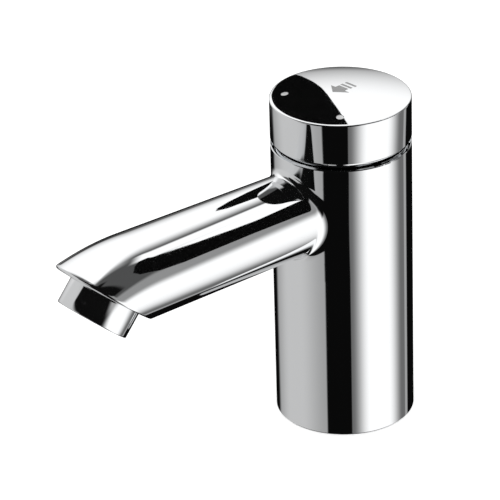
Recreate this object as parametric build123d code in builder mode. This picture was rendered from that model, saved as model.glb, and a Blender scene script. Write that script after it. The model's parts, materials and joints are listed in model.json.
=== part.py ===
from build123d import *
import os
from math import asin, cos, degrees, radians, sin, sqrt, tan

os.makedirs("parts", exist_ok=True)

# A self-closing basin mixer tap. The domed cap is pressed to start the flow and turned to mix hot and
# cold. A timed cartridge under it closes the valve again by itself.
# The origin is the centre of the base, on the deck. +Z is up and the spout points to -Y.
# All lengths are in millimetres and all angles in degrees.

# Clearances that all pieces share
overrun = 1.0  # how far a cut runs past the face that it opens
slip = 0.05  # round a piece that is pushed into its bore and stays there
running = 0.06  # round a piece that turns or slides in its bore
air = 0.3  # between pieces that pass each other without touching
seat_gap = 0.05  # between the closed valve washer and its seat, and over the thrust washer

# A hexagon's corners, and the points at which an edge is looked at, as shares of its length
hexagon = 6
edge_shares = (0.2, 0.5, 0.8)

# Body casting, outside
base_edge = 0.5
rim_edge = 0.2
rim_land = 0.15
root_fillet = 3.8

# Push cap, outside
cap_side_height = 14.1
cap_dome_rise = 2.2
cap_edge = 0.5
cone_inset = 1.6
cone_height = 2.8
cap_stroke = 1.8
pressed_gap = 0.1875  # between the cap's cone and the body's rim while the cap is down
cap_turn = 4.6  # how far the cap stands off centre
turn_reach = 45.0  # how far it turns each way from the centre

# Push cap, inside
skirt_length = 4.4
skirt_wall = 2.2
cap_roof = 2.8

# Spout, with reaches measured from the body's axis along -Y
spout_span = 80.0
spout_sections = 13  # the steps in which its outline is lofted
root_half_width = 14.3
end_half_width = 17.0
spout_drop = 5.9  # of its upper side below the body's rim, at the root
spout_depth = 29.2  # from its upper side to its underside, at the root
spout_bottom_fall = 0.4
spout_top_fall = 0.6
droop_lead = 2.1  # from the heel to where the upper side starts to droop
droop_run = 30.0
droop_depth = 6.9
heel_reach = 86.1
cut_angle = 39.8
end_edge = 0.8

# Aerator
aerator_inset = 18.3  # from the spout's heel to the aerator's axis, along the cut face
collar_radius = 12.6
collar_length = 9.3
collar_edge = 0.4
socket_depth = 6.5
collar_thread_step = 0.65
collar_wall = 1.35
collar_lip = 0.8
collar_lip_height = 1.0
gasket_height = 1.2
gasket_width = 2.2
strainer_height = 0.5
strainer_hole = 0.5
strainer_pitch = 2.0
insert_wall = 1.2
grille_height = 1.6
cell_radius = 1.15
cell_pitch = 2.5
regulator_height = 2.6
regulator_gap = 0.2
regulator_hole = 0.8
regulator_hole_count = 10
regulator_core_radius = 3.2
regulator_core_height = 3.0
regulator_core_taper = 10.0

# Bores of the body, from the top
skirt_floor_gap = 0.7  # under the cap's skirt while the cap is down
nut_clearance = 0.7
thread_depth = 8.0
thread_step = 1.5
gallery_depth = 1.0
gallery_rise = 2.0  # of its lower end over the partition's lower face
gallery_drop = 6.0  # of its upper end below the nut's thread
lip_width = 2.5
lip_height = 3.0

# Waterway cored in the spout
waterway_start = 14.0
waterway_rise = 5.5  # of its start over the spout's underside
waterway_width = 12.0
waterway_height = 11.0
waterway_middle_rise = 12.5
waterway_middle_radius = 9.5
waterway_far_lead = 8.1  # from its far section to the spout's heel
waterway_far_rise = 14.5
waterway_far_width = 22.0
waterway_far_height = 20.0
waterway_end_radius = 8.5
waterway_lead = 4.0

# Inlet block and what holds it
block_bottom = 14.0
block_height = 22.0
inlet_radius = 4.5  # M10 x 1 hose thread, at its drilled size
inlet_depth = 12.0
channel_radius = 2.5
port_angle = 28.0
port_inset = 7.0
stud_radius = 3.4  # M8 stud thread, at its drilled size
stud_depth = 16.0
stud_inset = 8.5
block_seal_level = 10.0  # above the block's lower face
seal_wire = 1.0  # half the thickness of the block's O-ring
ring_height = 1.6
ring_groove_depth = 1.0
ring_width = 2.6
ring_gap_angle = 34.0
eyelet_radius = 2.2
eyelet_hole = 0.9

# Base seal
base_seal_inset = 1.6  # from the body's outside to the seal
base_seal_width = 1.8
base_seal_height = 2.0

# Cartridge, fixed pieces
cartridge_base_height = 7.0
disc_recess = 1.0
inlet_seal_radius = 4.3
inlet_seal_wire = 0.7
peg_radius = 1.2
peg_length = 2.5
peg_inset = 4.5
disc_margin = 1.2
fixed_disc_height = 4.0
moving_disc_height = 3.5
disc_port_radius = 2.6
notch_width = 4.0
notch_depth = 2.0
kidney_angle = 50.0  # from the kidney port's middle to the centre of either rounded end
housing_wall = 2.75
housing_neck_step = 1.45
flange_height = 2.7
window_width = 12.0
window_height = 5.0
window_rise = 1.0  # over the partition's upper face
upper_seal_drop = 3.0  # below the nut's thread
lower_seal_drop = 3.0  # below the partition's lower face
housing_seal_wire = 0.74
seal_side_gap = 0.1
stop_ring_height = 2.8
lug_half_angle = 8.0
lug_play_angle = 2.0
lug_reach = 2.05
nut_height = 10.0
nut_shoulder_width = 2.4
spanner_notch_width = 3.2
spanner_notch_depth = 2.2
spanner_notch_height = 2.4
spanner_notch_count = 4

# Cartridge, turning pieces
mixing_room = 1.15  # under the washer screw while the cap is down
mixing_wall = 3.45
partition_height = 3.0
seat_flow_gap = 1.5  # round the rod in the valve seat
seat_lip_width = 0.8
seat_lip_height = 0.5
sleeve_wall = 3.4
neck_wall = 1.4
dog_height = 1.8
port_window_width = 6.0
port_window_height = 4.0
thrust_washer_height = 0.95
bush_plug_height = 6.0
bush_flange_height = 1.2
key_flats = 10.0  # across the flats of the hexagon that carries the cap's turn
key_height = 5.8
key_gap = 0.08
rod_seal_wire = 0.8
screw_radius = 1.2
screw_wall = 0.75  # outside the timing screw, in the bush
screw_head_radius = 1.6
screw_head_height = 0.9
screw_tip_length = 1.6
screw_tip_angle = 30.0
screw_slot_width = 0.5
screw_slot_depth = 0.5

# Plunger
rod_radius = 3.0
piston_width = 8.5  # from the rod to the sleeve's bore
timing_room = 4.0  # over the piston while the cap is up
rod_collar_radius = 4.4
rod_collar_height = 1.5
piston_height = 5.0
piston_boss_height = 1.5
lip_seal_height = 2.6
lip_seal_depth = 1.6
lip_seal_cup = 1.2
washer_overhang = 1.7  # past the seat's lip
washer_height = 2.2
washer_screw_radius = 1.5
washer_screw_head_radius = 4.2
washer_screw_head_height = 1.8
washer_screw_length = 8.0
spring_wire = 0.6  # half the thickness of the wire
spring_turns = 4.5
spring_height = 12.0  # from the sleeve's partition to the piston

# Cap carrier, the plastic piece inside the cap
rod_grip = 13.1
carrier_plate_height = 2.1
carrier_rim_width = 2.0
carrier_rim_height = 10.4
rib_width = 1.6
rib_count = 6
rib_rise = 1.5
grub_radius = 2.0
grub_level = 4.7  # above the cap's lower edge
grub_length = 3.9
grub_bite = 0.8
grub_socket_flats = 2.0
grub_socket_depth = 2.0

# Temperature dots
dot_inset = 5.3  # from the cap's outside to the dot's centre
dot_half_angle = 45.4
dot_radius = 1.3
dot_depth = 0.7
dot_sink = 0.08

# Radii that follow from the sizes above, from the rod outwards
piston_bore = rod_radius + piston_width
sleeve_radius = piston_bore + sleeve_wall
housing_inner = sleeve_radius + air
housing_radius = housing_inner + housing_wall
chamber_radius = housing_radius + slip
thread_radius = chamber_radius + thread_step
cap_inner_radius = thread_radius + nut_clearance
skirt_radius = cap_inner_radius + skirt_wall
counterbore_radius = skirt_radius + air
body_radius = skirt_radius + cone_inset
gallery_radius = chamber_radius + gallery_depth
lip_radius = chamber_radius - lip_width
port_circle = lip_radius - port_inset
housing_neck_radius = housing_radius - housing_neck_step
disc_radius = housing_inner - disc_margin
mixing_radius = sleeve_radius - mixing_wall
neck_radius = piston_bore + neck_wall
lug_radius = neck_radius + lug_reach
seat_hole_radius = rod_radius + seat_flow_gap
washer_radius = seat_hole_radius + seat_lip_width + washer_overhang
spring_radius = (rod_radius + piston_bore) / 2
piston_boss_radius = (rod_radius + spring_radius) / 2
timing_screw_place = piston_bore - screw_wall - screw_radius
hub_radius = timing_screw_place - screw_head_radius - air
rim_inner_radius = body_radius - rim_edge - rim_land
carrier_radius = cap_inner_radius - air
dome_radius = (body_radius**2 + cap_dome_rise**2) / (2 * cap_dome_rise)
base_seal_outer = body_radius - base_seal_inset
base_seal_inner = base_seal_outer - base_seal_width
dot_circle_radius = body_radius - dot_inset

# Levels that follow, from the bottom up
ring_bottom = block_bottom - ring_height
block_top = block_bottom + block_height
chamber_floor = block_top + lip_height
cartridge_base_top = chamber_floor + cartridge_base_height
fixed_disc_bottom = cartridge_base_top - disc_recess
fixed_disc_top = fixed_disc_bottom + fixed_disc_height
moving_disc_top = fixed_disc_top + moving_disc_height
valve_height = seat_gap + washer_height + washer_screw_head_height
mixing_height = seat_lip_height + valve_height + cap_stroke + mixing_room
partition_bottom = moving_disc_top + mixing_height
partition_top = partition_bottom + partition_height
seat_level = partition_bottom - seat_lip_height
washer_top = seat_level - seat_gap
washer_bottom = washer_top - washer_height
piston_level = partition_top + spring_height
piston_top = piston_level + piston_height
bush_bottom = piston_top + timing_room
sleeve_top = bush_bottom + bush_plug_height
housing_top = sleeve_top - air
flange_bottom = housing_top - flange_height
sleeve_shoulder = flange_bottom - seat_gap - thrust_washer_height
thread_bottom = sleeve_shoulder
stop_ring_top = housing_top + stop_ring_height
nut_top = thread_bottom + nut_height
counterbore_floor = thread_bottom + thread_depth
skirt_bottom = counterbore_floor + skirt_floor_gap + cap_stroke
cap_lower_edge = skirt_bottom + skirt_length + cone_height
groove_height = cap_stroke + pressed_gap + (rim_edge + rim_land) * cone_height / cone_inset
body_height = cap_lower_edge - groove_height
cap_upper_edge = cap_lower_edge + cap_side_height
cap_top = cap_upper_edge + cap_dome_rise
cap_ceiling = cap_upper_edge - cap_roof
bush_flange_top = sleeve_top + bush_flange_height
key_top = bush_flange_top + key_height
hub_bottom = bush_flange_top + cap_stroke + air
key_socket_top = key_top + cap_stroke + 2 * air
rod_top = key_socket_top + rod_grip
gallery_low = partition_bottom + gallery_rise
gallery_high = thread_bottom - gallery_drop
window_level = partition_top + window_rise
lower_seal_level = partition_bottom - lower_seal_drop
upper_seal_level = thread_bottom - upper_seal_drop
spout_top = body_height - spout_drop
spout_bottom = spout_top - spout_depth
waterway_low = spout_bottom + waterway_rise
waterway_middle_level = spout_bottom + waterway_middle_rise
waterway_far_level = spout_bottom + waterway_far_rise

# Reaches that follow, along the spout
droop_reach = heel_reach + droop_lead
spout_end = heel_reach + spout_depth / tan(radians(cut_angle))
waterway_far_reach = heel_reach - waterway_far_lead
waterway_middle_reach = (waterway_start + waterway_far_reach) / 2

# Planes that place what is turned with the cap, what sits in the aerator and what stands on the spout
turned = Plane.XY.rotated((0, 0, cap_turn))
turned_upright = Plane.XZ.rotated((0, 0, cap_turn))
back = Plane.XZ.rotated((0, 0, 180 + cap_turn))


def bottom_at(reach):
    """Level of the spout's underside at this reach."""
    return spout_bottom - spout_bottom_fall * (reach - body_radius) / spout_span


def top_at(reach):
    """Level of the spout's upper side at this reach, with the droop towards the tip."""
    past = max(reach - droop_reach, 0) / droop_run
    return spout_top - spout_top_fall * (reach - body_radius) / spout_span - droop_depth * past**2


def half_width_at(reach):
    """Half of the spout's width at this reach."""
    return root_half_width + (end_half_width - root_half_width) * (reach - body_radius) / spout_span


def spout_plane(reach, level):
    """An upright plane across the spout, facing its tip."""
    return Plane(origin=(0, -reach, level), x_dir=(1, 0, 0), z_dir=(0, -1, 0))


# The cut face at the spout's end, and the aerator's axis, which stands square on it
heel_level = bottom_at(heel_reach)
aerator_reach = heel_reach + aerator_inset * cos(radians(cut_angle))
aerator_level = heel_level + aerator_inset * sin(radians(cut_angle))
cut_normal = (0, -sin(radians(cut_angle)), -cos(radians(cut_angle)))
cut_plane = Plane(origin=(0, -aerator_reach, aerator_level), x_dir=(1, 0, 0), z_dir=cut_normal)

# Body: the upright casting and its spout in one piece, bored for the cartridge and the inlet block
section_step = (spout_end - waterway_start) / spout_sections
spout_reaches = [waterway_start + section_step * number for number in range(spout_sections + 1)]
bevel_bottom = body_height - (rim_inner_radius - counterbore_radius) * cone_height / cone_inset

# The core that leaves the waterway in the spout, which is cut out of the body and isn't a piece
with BuildPart() as waterway:
    with BuildSketch(spout_plane(waterway_start, waterway_low)):
        Ellipse(waterway_width / 2, waterway_height / 2)
    with BuildSketch(spout_plane(waterway_middle_reach, waterway_middle_level)):
        Circle(waterway_middle_radius)
    with BuildSketch(spout_plane(waterway_far_reach, waterway_far_level)):
        Ellipse(waterway_far_width / 2, waterway_far_height / 2)
    with BuildSketch(cut_plane.offset(-socket_depth - waterway_lead)):
        Circle(waterway_end_radius)
    loft(ruled=True)
    with BuildSketch(cut_plane.offset(-socket_depth - waterway_lead)):
        Circle(waterway_end_radius)
    extrude(amount=waterway_lead + overrun)

with BuildPart() as body:
    with BuildSketch():
        Circle(body_radius)
    extrude(amount=body_height)
    for reach in spout_reaches:
        with BuildSketch(spout_plane(reach, (bottom_at(reach) + top_at(reach)) / 2)):
            Ellipse(half_width_at(reach), (top_at(reach) - bottom_at(reach)) / 2)
    loft()
    with BuildSketch(cut_plane):
        Rectangle(4 * end_half_width, 4 * end_half_width)
    extrude(amount=2 * end_half_width, mode=Mode.SUBTRACT)
    on_cut = body.edges().filter_by(lambda edge: abs(cut_plane.to_local_coords(edge @ 0.5).Z) < slip)
    fillet(on_cut, radius=end_edge)
    root_edges = body.edges().filter_by(
        lambda edge: all(
            abs(sqrt((edge @ t).X ** 2 + (edge @ t).Y ** 2) - body_radius) < slip
            and spout_bottom - overrun < (edge @ t).Z < spout_top + overrun
            for t in edge_shares
        )
        and edge.geom_type != GeomType.LINE
    )
    fillet(root_edges, radius=root_fillet)
    chamfer(body.edges().filter_by(GeomType.CIRCLE).group_by(Axis.Z)[-1], length=rim_edge)
    chamfer(body.edges().filter_by(GeomType.CIRCLE).group_by(Axis.Z)[0], length=base_edge)
    with BuildSketch(Plane.XZ):
        with BuildLine():
            Polyline(
                (0, -overrun),
                (chamber_radius, -overrun),
                (chamber_radius, ring_bottom - slip),
                (chamber_radius + ring_groove_depth, ring_bottom - slip),
                (chamber_radius + ring_groove_depth, block_bottom + slip),
                (chamber_radius, block_bottom + slip),
                (chamber_radius, block_top),
                (lip_radius, block_top),
                (lip_radius, chamber_floor),
                (chamber_radius, chamber_floor),
                (chamber_radius, gallery_low),
                (gallery_radius, gallery_low),
                (gallery_radius, gallery_high),
                (chamber_radius, gallery_high),
                (chamber_radius, thread_bottom),
                (thread_radius, thread_bottom),
                (thread_radius, counterbore_floor),
                (counterbore_radius, counterbore_floor),
                (counterbore_radius, bevel_bottom),
                (rim_inner_radius, body_height),
                (rim_inner_radius, body_height + overrun),
                (0, body_height + overrun),
                close=True,
            )
        make_face()
    revolve(axis=Axis.Z, mode=Mode.SUBTRACT)
    with BuildSketch():
        Circle(base_seal_outer + slip)
        Circle(base_seal_inner - slip, mode=Mode.SUBTRACT)
    extrude(amount=base_seal_height, mode=Mode.SUBTRACT)
    with BuildSketch(cut_plane.offset(-socket_depth)):
        Circle(collar_radius - collar_thread_step + slip)
    extrude(amount=socket_depth + overrun, mode=Mode.SUBTRACT)
    add(waterway.part, mode=Mode.SUBTRACT)
body.part.label = "body"
export_step(body.part, "parts/body.step")

# Base seal: a flat rubber ring pressed level with the base in its groove
with BuildPart() as base_seal:
    with BuildSketch():
        Circle(base_seal_outer)
        Circle(base_seal_inner, mode=Mode.SUBTRACT)
    extrude(amount=base_seal_height)
base_seal.part.label = "base_seal"
export_step(base_seal.part, "parts/base_seal.step")

# Inlet block: the brass block under the cartridge, with the two hose inlets and the blind stud hole
port_x = port_circle * cos(radians(port_angle))
port_y = port_circle * sin(radians(port_angle))
block_seal_bottom = block_bottom + block_seal_level
peg_place = (0, peg_inset - lip_radius)

with BuildPart() as inlet_block:
    with BuildSketch(Plane.XY.offset(block_bottom)):
        Circle(chamber_radius - slip)
    extrude(amount=block_height)
    with BuildSketch(Plane.XY.offset(block_top)):
        Circle(lip_radius - slip)
    extrude(amount=lip_height)
    with BuildSketch(Plane.XY.offset(block_seal_bottom)):
        Circle(chamber_radius)
        Circle(chamber_radius - 2 * seal_wire, mode=Mode.SUBTRACT)
    extrude(amount=2 * seal_wire + seal_side_gap, mode=Mode.SUBTRACT)
    with BuildSketch(Plane.XY.offset(block_bottom)):
        with Locations((port_x, port_y), (-port_x, port_y)):
            Circle(inlet_radius)
    extrude(amount=inlet_depth, mode=Mode.SUBTRACT)
    with BuildSketch(Plane.XY.offset(block_bottom)):
        with Locations((port_x, port_y), (-port_x, port_y)):
            Circle(channel_radius)
    extrude(amount=block_height + lip_height, mode=Mode.SUBTRACT)
    with BuildSketch(Plane.XY.offset(block_bottom)):
        with Locations((0, -stud_inset)):
            Circle(stud_radius)
    extrude(amount=stud_depth, mode=Mode.SUBTRACT)
    with BuildSketch(Plane.XY.offset(chamber_floor)):
        with Locations(peg_place):
            Circle(peg_radius + slip)
    extrude(amount=-peg_length - slip, mode=Mode.SUBTRACT)
inlet_block.part.label = "inlet_block"
export_step(inlet_block.part, "parts/inlet_block.step")


def o_ring(plane, ring_radius, wire):
    """A rubber ring that lies in a plane, with its middle circle and half its thickness given."""
    with BuildPart() as ring:
        with BuildSketch(Plane(origin=plane.origin, x_dir=plane.x_dir, z_dir=-plane.y_dir)):
            with Locations((ring_radius, 0)):
                Circle(wire)
        revolve(axis=Axis(plane.origin, plane.z_dir))
    return ring.part


# Inlet block O-ring: seals the block against the body's bore
block_o_ring_level = block_seal_bottom + seal_wire + seal_side_gap / 2
with BuildPart() as block_o_ring:
    add(o_ring(Plane.XY.offset(block_o_ring_level), chamber_radius - seal_wire, seal_wire - slip / 2))
block_o_ring.part.label = "block_o_ring"
export_step(block_o_ring.part, "parts/block_o_ring.step")

# Retaining ring: the open snap ring that holds the inlet block up against the body's lip
ring_outer = chamber_radius + ring_groove_depth - slip
ring_inner = ring_outer - ring_width
eyelet_circle = ring_inner - eyelet_radius / 2
eyelet_angle = ring_gap_angle / 2 + degrees(eyelet_radius / eyelet_circle)
eyelet_places = [
    (eyelet_circle * cos(radians(angle)), eyelet_circle * sin(radians(angle)))
    for angle in (90 - eyelet_angle, 90 + eyelet_angle)
]
with BuildPart() as retaining_ring:
    with BuildSketch(Plane.XY.offset(ring_bottom)):
        Circle(ring_outer)
        Circle(ring_inner, mode=Mode.SUBTRACT)
        with BuildLine():
            gap_edge = PolarLine((0, 0), 2 * ring_outer, 90 - ring_gap_angle / 2)
            other_edge = PolarLine((0, 0), 2 * ring_outer, 90 + ring_gap_angle / 2)
            Line(gap_edge @ 1, other_edge @ 1)
        make_face(mode=Mode.SUBTRACT)
        with Locations(*eyelet_places):
            Circle(eyelet_radius)
            Circle(eyelet_hole, mode=Mode.SUBTRACT)
    extrude(amount=ring_height)
retaining_ring.part.label = "retaining_ring"
export_step(retaining_ring.part, "parts/retaining_ring.step")

# Cartridge base: carries the fixed disc, with a channel from each inlet and a peg against turning
seal_groove_inner = inlet_seal_radius - inlet_seal_wire
seal_groove_outer = inlet_seal_radius + inlet_seal_wire
with BuildPart() as cartridge_base:
    with BuildSketch(Plane.XY.offset(chamber_floor)):
        Circle(housing_radius)
    extrude(amount=cartridge_base_height)
    with BuildSketch(Plane.XY.offset(fixed_disc_bottom)):
        Circle(disc_radius + slip)
        with Locations((disc_radius, 0), (-disc_radius, 0)):
            Rectangle(2 * notch_depth - slip, notch_width - 2 * slip, mode=Mode.SUBTRACT)
    extrude(amount=disc_recess, mode=Mode.SUBTRACT)
    with BuildSketch(Plane.XY.offset(chamber_floor)):
        with Locations((port_x, port_y), (-port_x, port_y)):
            Circle(channel_radius)
    extrude(amount=cartridge_base_height, mode=Mode.SUBTRACT)
    with BuildSketch(Plane.XY.offset(chamber_floor)):
        with Locations((port_x, port_y), (-port_x, port_y)):
            Circle(seal_groove_outer)
            Circle(seal_groove_inner, mode=Mode.SUBTRACT)
    extrude(amount=2 * inlet_seal_wire, mode=Mode.SUBTRACT)
    with BuildSketch(Plane.XY.offset(chamber_floor)):
        with Locations(peg_place):
            Circle(peg_radius)
    extrude(amount=-peg_length)
cartridge_base.part.label = "cartridge_base"
export_step(cartridge_base.part, "parts/cartridge_base.step")

# Inlet seals: one O-ring round each channel, between the cartridge base and the inlet block
with BuildPart() as inlet_seals:
    for x in (port_x, -port_x):
        seal_plane = Plane(origin=(x, port_y, chamber_floor + inlet_seal_wire))
        add(o_ring(seal_plane, inlet_seal_radius, inlet_seal_wire - slip / 2))
inlet_seals.part.label = "inlet_seals"
export_step(inlet_seals.part, "parts/inlet_seals.step")

# Fixed disc: the ceramic disc with one port for hot and one for cold water
with BuildPart() as fixed_disc:
    with BuildSketch(Plane.XY.offset(fixed_disc_bottom)):
        Circle(disc_radius)
        with Locations((disc_radius, 0), (-disc_radius, 0)):
            Rectangle(2 * notch_depth, notch_width, mode=Mode.SUBTRACT)
        with Locations((port_x, port_y), (-port_x, port_y)):
            Circle(disc_port_radius, mode=Mode.SUBTRACT)
    extrude(amount=fixed_disc_height)
fixed_disc.part.label = "fixed_disc"
export_step(fixed_disc.part, "parts/fixed_disc.step")

# Moving disc: its kidney port uncovers more of one inlet and less of the other as the cap turns
with BuildPart() as moving_disc:
    with BuildSketch(turned.offset(fixed_disc_top)):
        Circle(disc_radius)
        with Locations((disc_radius, 0), (-disc_radius, 0)):
            Rectangle(2 * notch_depth, notch_width, mode=Mode.SUBTRACT)
        SlotArc(
            CenterArc((0, 0), port_circle, 90 - kidney_angle, 2 * kidney_angle),
            2 * disc_port_radius,
            mode=Mode.SUBTRACT,
        )
    extrude(amount=moving_disc_height)
moving_disc.part.label = "moving_disc"
export_step(moving_disc.part, "parts/moving_disc.step")

# Cartridge housing: the fixed shell in which the sleeve turns, with four windows into the gallery
with BuildPart() as cartridge_housing:
    with BuildSketch(Plane.XZ):
        with BuildLine():
            Polyline(
                (housing_inner, cartridge_base_top),
                (housing_radius, cartridge_base_top),
                (housing_radius, thread_bottom),
                (housing_neck_radius, thread_bottom),
                (housing_neck_radius, housing_top),
                (neck_radius + running, housing_top),
                (neck_radius + running, flange_bottom),
                (housing_inner, flange_bottom),
                close=True,
            )
        make_face()
        with Locations((housing_radius, lower_seal_level), (housing_radius, upper_seal_level)):
            Rectangle(4 * housing_seal_wire, 2 * housing_seal_wire + seal_side_gap, mode=Mode.SUBTRACT)
    revolve(axis=Axis.Z)
    for upright in (Plane.XZ, Plane.YZ):
        with BuildSketch(upright):
            with Locations((0, window_level + window_height / 2)):
                Rectangle(window_width, window_height)
        extrude(amount=housing_radius + overrun, both=True, mode=Mode.SUBTRACT)
cartridge_housing.part.label = "cartridge_housing"
export_step(cartridge_housing.part, "parts/cartridge_housing.step")

# Cartridge O-rings: one below the gallery and one above it
with BuildPart() as cartridge_o_rings:
    for level in (lower_seal_level, upper_seal_level):
        seal_plane = Plane.XY.offset(level)
        add(o_ring(seal_plane, housing_radius - housing_seal_wire, housing_seal_wire - slip / 2))
cartridge_o_rings.part.label = "cartridge_o_rings"
export_step(cartridge_o_rings.part, "parts/cartridge_o_rings.step")

# Stop ring: the hot-limit ring, whose wide notch lets the bush's lug turn only so far
stop_outer = housing_neck_radius - slip
stop_half_angle = turn_reach + lug_half_angle + lug_play_angle
with BuildPart() as stop_ring:
    with BuildSketch(Plane.XY.offset(housing_top)):
        Circle(stop_outer)
        Circle(neck_radius + air, mode=Mode.SUBTRACT)
        with BuildLine():
            notch_arc = CenterArc((0, 0), lug_radius + air, -90 - stop_half_angle, 2 * stop_half_angle)
            Polyline(notch_arc @ 1, (0, 0), notch_arc @ 0)
        make_face(mode=Mode.SUBTRACT)
    extrude(amount=stop_ring_height)
stop_ring.part.label = "stop_ring"
export_step(stop_ring.part, "parts/stop_ring.step")

# Cartridge nut: the threaded ring that holds the cartridge and the stop ring down
nut_radius = thread_radius - slip
with BuildPart() as cartridge_nut:
    with BuildSketch(Plane.XZ):
        with BuildLine():
            Polyline(
                (stop_outer + 2 * slip, thread_bottom),
                (nut_radius, thread_bottom),
                (nut_radius, nut_top),
                (stop_outer - nut_shoulder_width, nut_top),
                (stop_outer - nut_shoulder_width, stop_ring_top),
                (stop_outer + 2 * slip, stop_ring_top),
                close=True,
            )
        make_face()
    revolve(axis=Axis.Z)
    with BuildSketch(Plane.XY.offset(nut_top)):
        with PolarLocations(nut_radius, spanner_notch_count):
            Rectangle(2 * spanner_notch_depth, spanner_notch_width)
    extrude(amount=-spanner_notch_height, mode=Mode.SUBTRACT)
cartridge_nut.part.label = "cartridge_nut"
export_step(cartridge_nut.part, "parts/cartridge_nut.step")

# Selector sleeve: turns in the housing, drives the moving disc and holds the valve seat and piston bore
dog_place = disc_radius - notch_depth / 2
with BuildPart() as selector_sleeve:
    with BuildSketch(Plane.XZ):
        with BuildLine():
            Polyline(
                (mixing_radius, moving_disc_top),
                (sleeve_radius, moving_disc_top),
                (sleeve_radius, sleeve_shoulder),
                (neck_radius, sleeve_shoulder),
                (neck_radius, sleeve_top),
                (piston_bore, sleeve_top),
                (piston_bore, partition_top),
                (seat_hole_radius, partition_top),
                (seat_hole_radius, seat_level),
                (seat_hole_radius + seat_lip_width, seat_level),
                (seat_hole_radius + seat_lip_width, partition_bottom),
                (mixing_radius, partition_bottom),
                close=True,
            )
        make_face()
    revolve(axis=Axis.Z)
    for turn in (0, 90):
        with BuildSketch(turned_upright.rotated((0, 0, turn))):
            with Locations((0, partition_top + seat_lip_height + port_window_height / 2)):
                Rectangle(port_window_width, port_window_height)
        extrude(amount=sleeve_radius + overrun, both=True, mode=Mode.SUBTRACT)
    with BuildSketch(turned.offset(moving_disc_top)):
        with Locations((dog_place, 0), (-dog_place, 0)):
            Rectangle(notch_depth - 2 * slip, notch_width - 2 * slip)
    extrude(amount=-dog_height)
selector_sleeve.part.label = "selector_sleeve"
export_step(selector_sleeve.part, "parts/selector_sleeve.step")

# Thrust washer: the slippery ring between the sleeve's shoulder and the housing's flange
with BuildPart() as thrust_washer:
    with BuildSketch(Plane.XY.offset(sleeve_shoulder)):
        Circle(sleeve_radius)
        Circle(neck_radius + slip, mode=Mode.SUBTRACT)
    extrude(amount=thrust_washer_height)
thrust_washer.part.label = "thrust_washer"
export_step(thrust_washer.part, "parts/thrust_washer.step")

# Guide bush: closes the sleeve, guides the rod, and has the turning key and the lug of the stop
rod_bore = rod_radius + running
rod_groove_radius = rod_bore + 2 * rod_seal_wire
rod_seal_level = bush_bottom + bush_plug_height / 2
with BuildPart() as guide_bush:
    with BuildSketch(turned.offset(bush_bottom)):
        Circle(piston_bore - slip)
    extrude(amount=bush_plug_height)
    with BuildSketch(turned.offset(sleeve_top)):
        Circle(neck_radius)
        with Locations((0, -lug_radius / 2)):
            Rectangle(2 * lug_radius * sin(radians(lug_half_angle)), lug_radius)
    extrude(amount=bush_flange_height)
    with BuildSketch(turned.offset(bush_flange_top)):
        RegularPolygon(key_flats / 2, hexagon, major_radius=False)
    extrude(amount=key_height)
    with BuildSketch(turned.offset(bush_bottom)):
        Circle(rod_bore)
        with Locations((timing_screw_place, 0)):
            Circle(screw_radius + slip)
    extrude(amount=key_top - bush_bottom, mode=Mode.SUBTRACT)
    with BuildSketch(Plane.XZ):
        with Locations((rod_bore, rod_seal_level)):
            Rectangle(4 * rod_seal_wire, 2 * rod_seal_wire + seal_side_gap)
    revolve(axis=Axis.Z, mode=Mode.SUBTRACT)
guide_bush.part.label = "guide_bush"
export_step(guide_bush.part, "parts/guide_bush.step")

# Rod seal: the O-ring round the rod, in the bush
with BuildPart() as rod_seal:
    add(o_ring(Plane.XY.offset(rod_seal_level), rod_bore + rod_seal_wire, rod_seal_wire - slip / 2))
rod_seal.part.label = "rod_seal"
export_step(rod_seal.part, "parts/rod_seal.step")

# Timing screw: its cone chokes the bleed hole into the piston's chamber, which sets the flow time
with BuildPart() as timing_screw:
    with BuildSketch(turned.offset(bush_bottom)):
        with Locations((timing_screw_place, 0)):
            Circle(screw_radius)
    extrude(amount=bush_flange_top - bush_bottom)
    with BuildSketch(turned.offset(bush_bottom)):
        with Locations((timing_screw_place, 0)):
            Circle(screw_radius)
    extrude(amount=-screw_tip_length, taper=screw_tip_angle)
    with BuildSketch(turned.offset(bush_flange_top)):
        with Locations((timing_screw_place, 0)):
            Circle(screw_head_radius)
    extrude(amount=screw_head_height)
    with BuildSketch(turned.offset(bush_flange_top + screw_head_height)):
        with Locations((timing_screw_place, 0)):
            Rectangle(2 * screw_head_radius, screw_slot_width)
    extrude(amount=-screw_slot_depth, mode=Mode.SUBTRACT)
timing_screw.part.label = "timing_screw"
export_step(timing_screw.part, "parts/timing_screw.step")

# Return spring: one unbroken wire coiled between the sleeve's partition and the piston
spring_low = partition_top + spring_wire + slip
spring_high = piston_level - spring_wire - slip
spring_pitch = (spring_high - spring_low) / spring_turns
with BuildPart() as return_spring:
    with BuildLine(Plane.XY.offset(spring_low)):
        coil = Helix(spring_pitch, spring_high - spring_low, spring_radius)
    with BuildSketch(Plane(origin=coil @ 0, z_dir=coil % 0)):
        Circle(spring_wire)
    sweep(is_frenet=True)
return_spring.part.label = "return_spring"
export_step(return_spring.part, "parts/return_spring.step")
print("least gap between the spring's turns", round(spring_pitch - 2 * spring_wire, 2))

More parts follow.
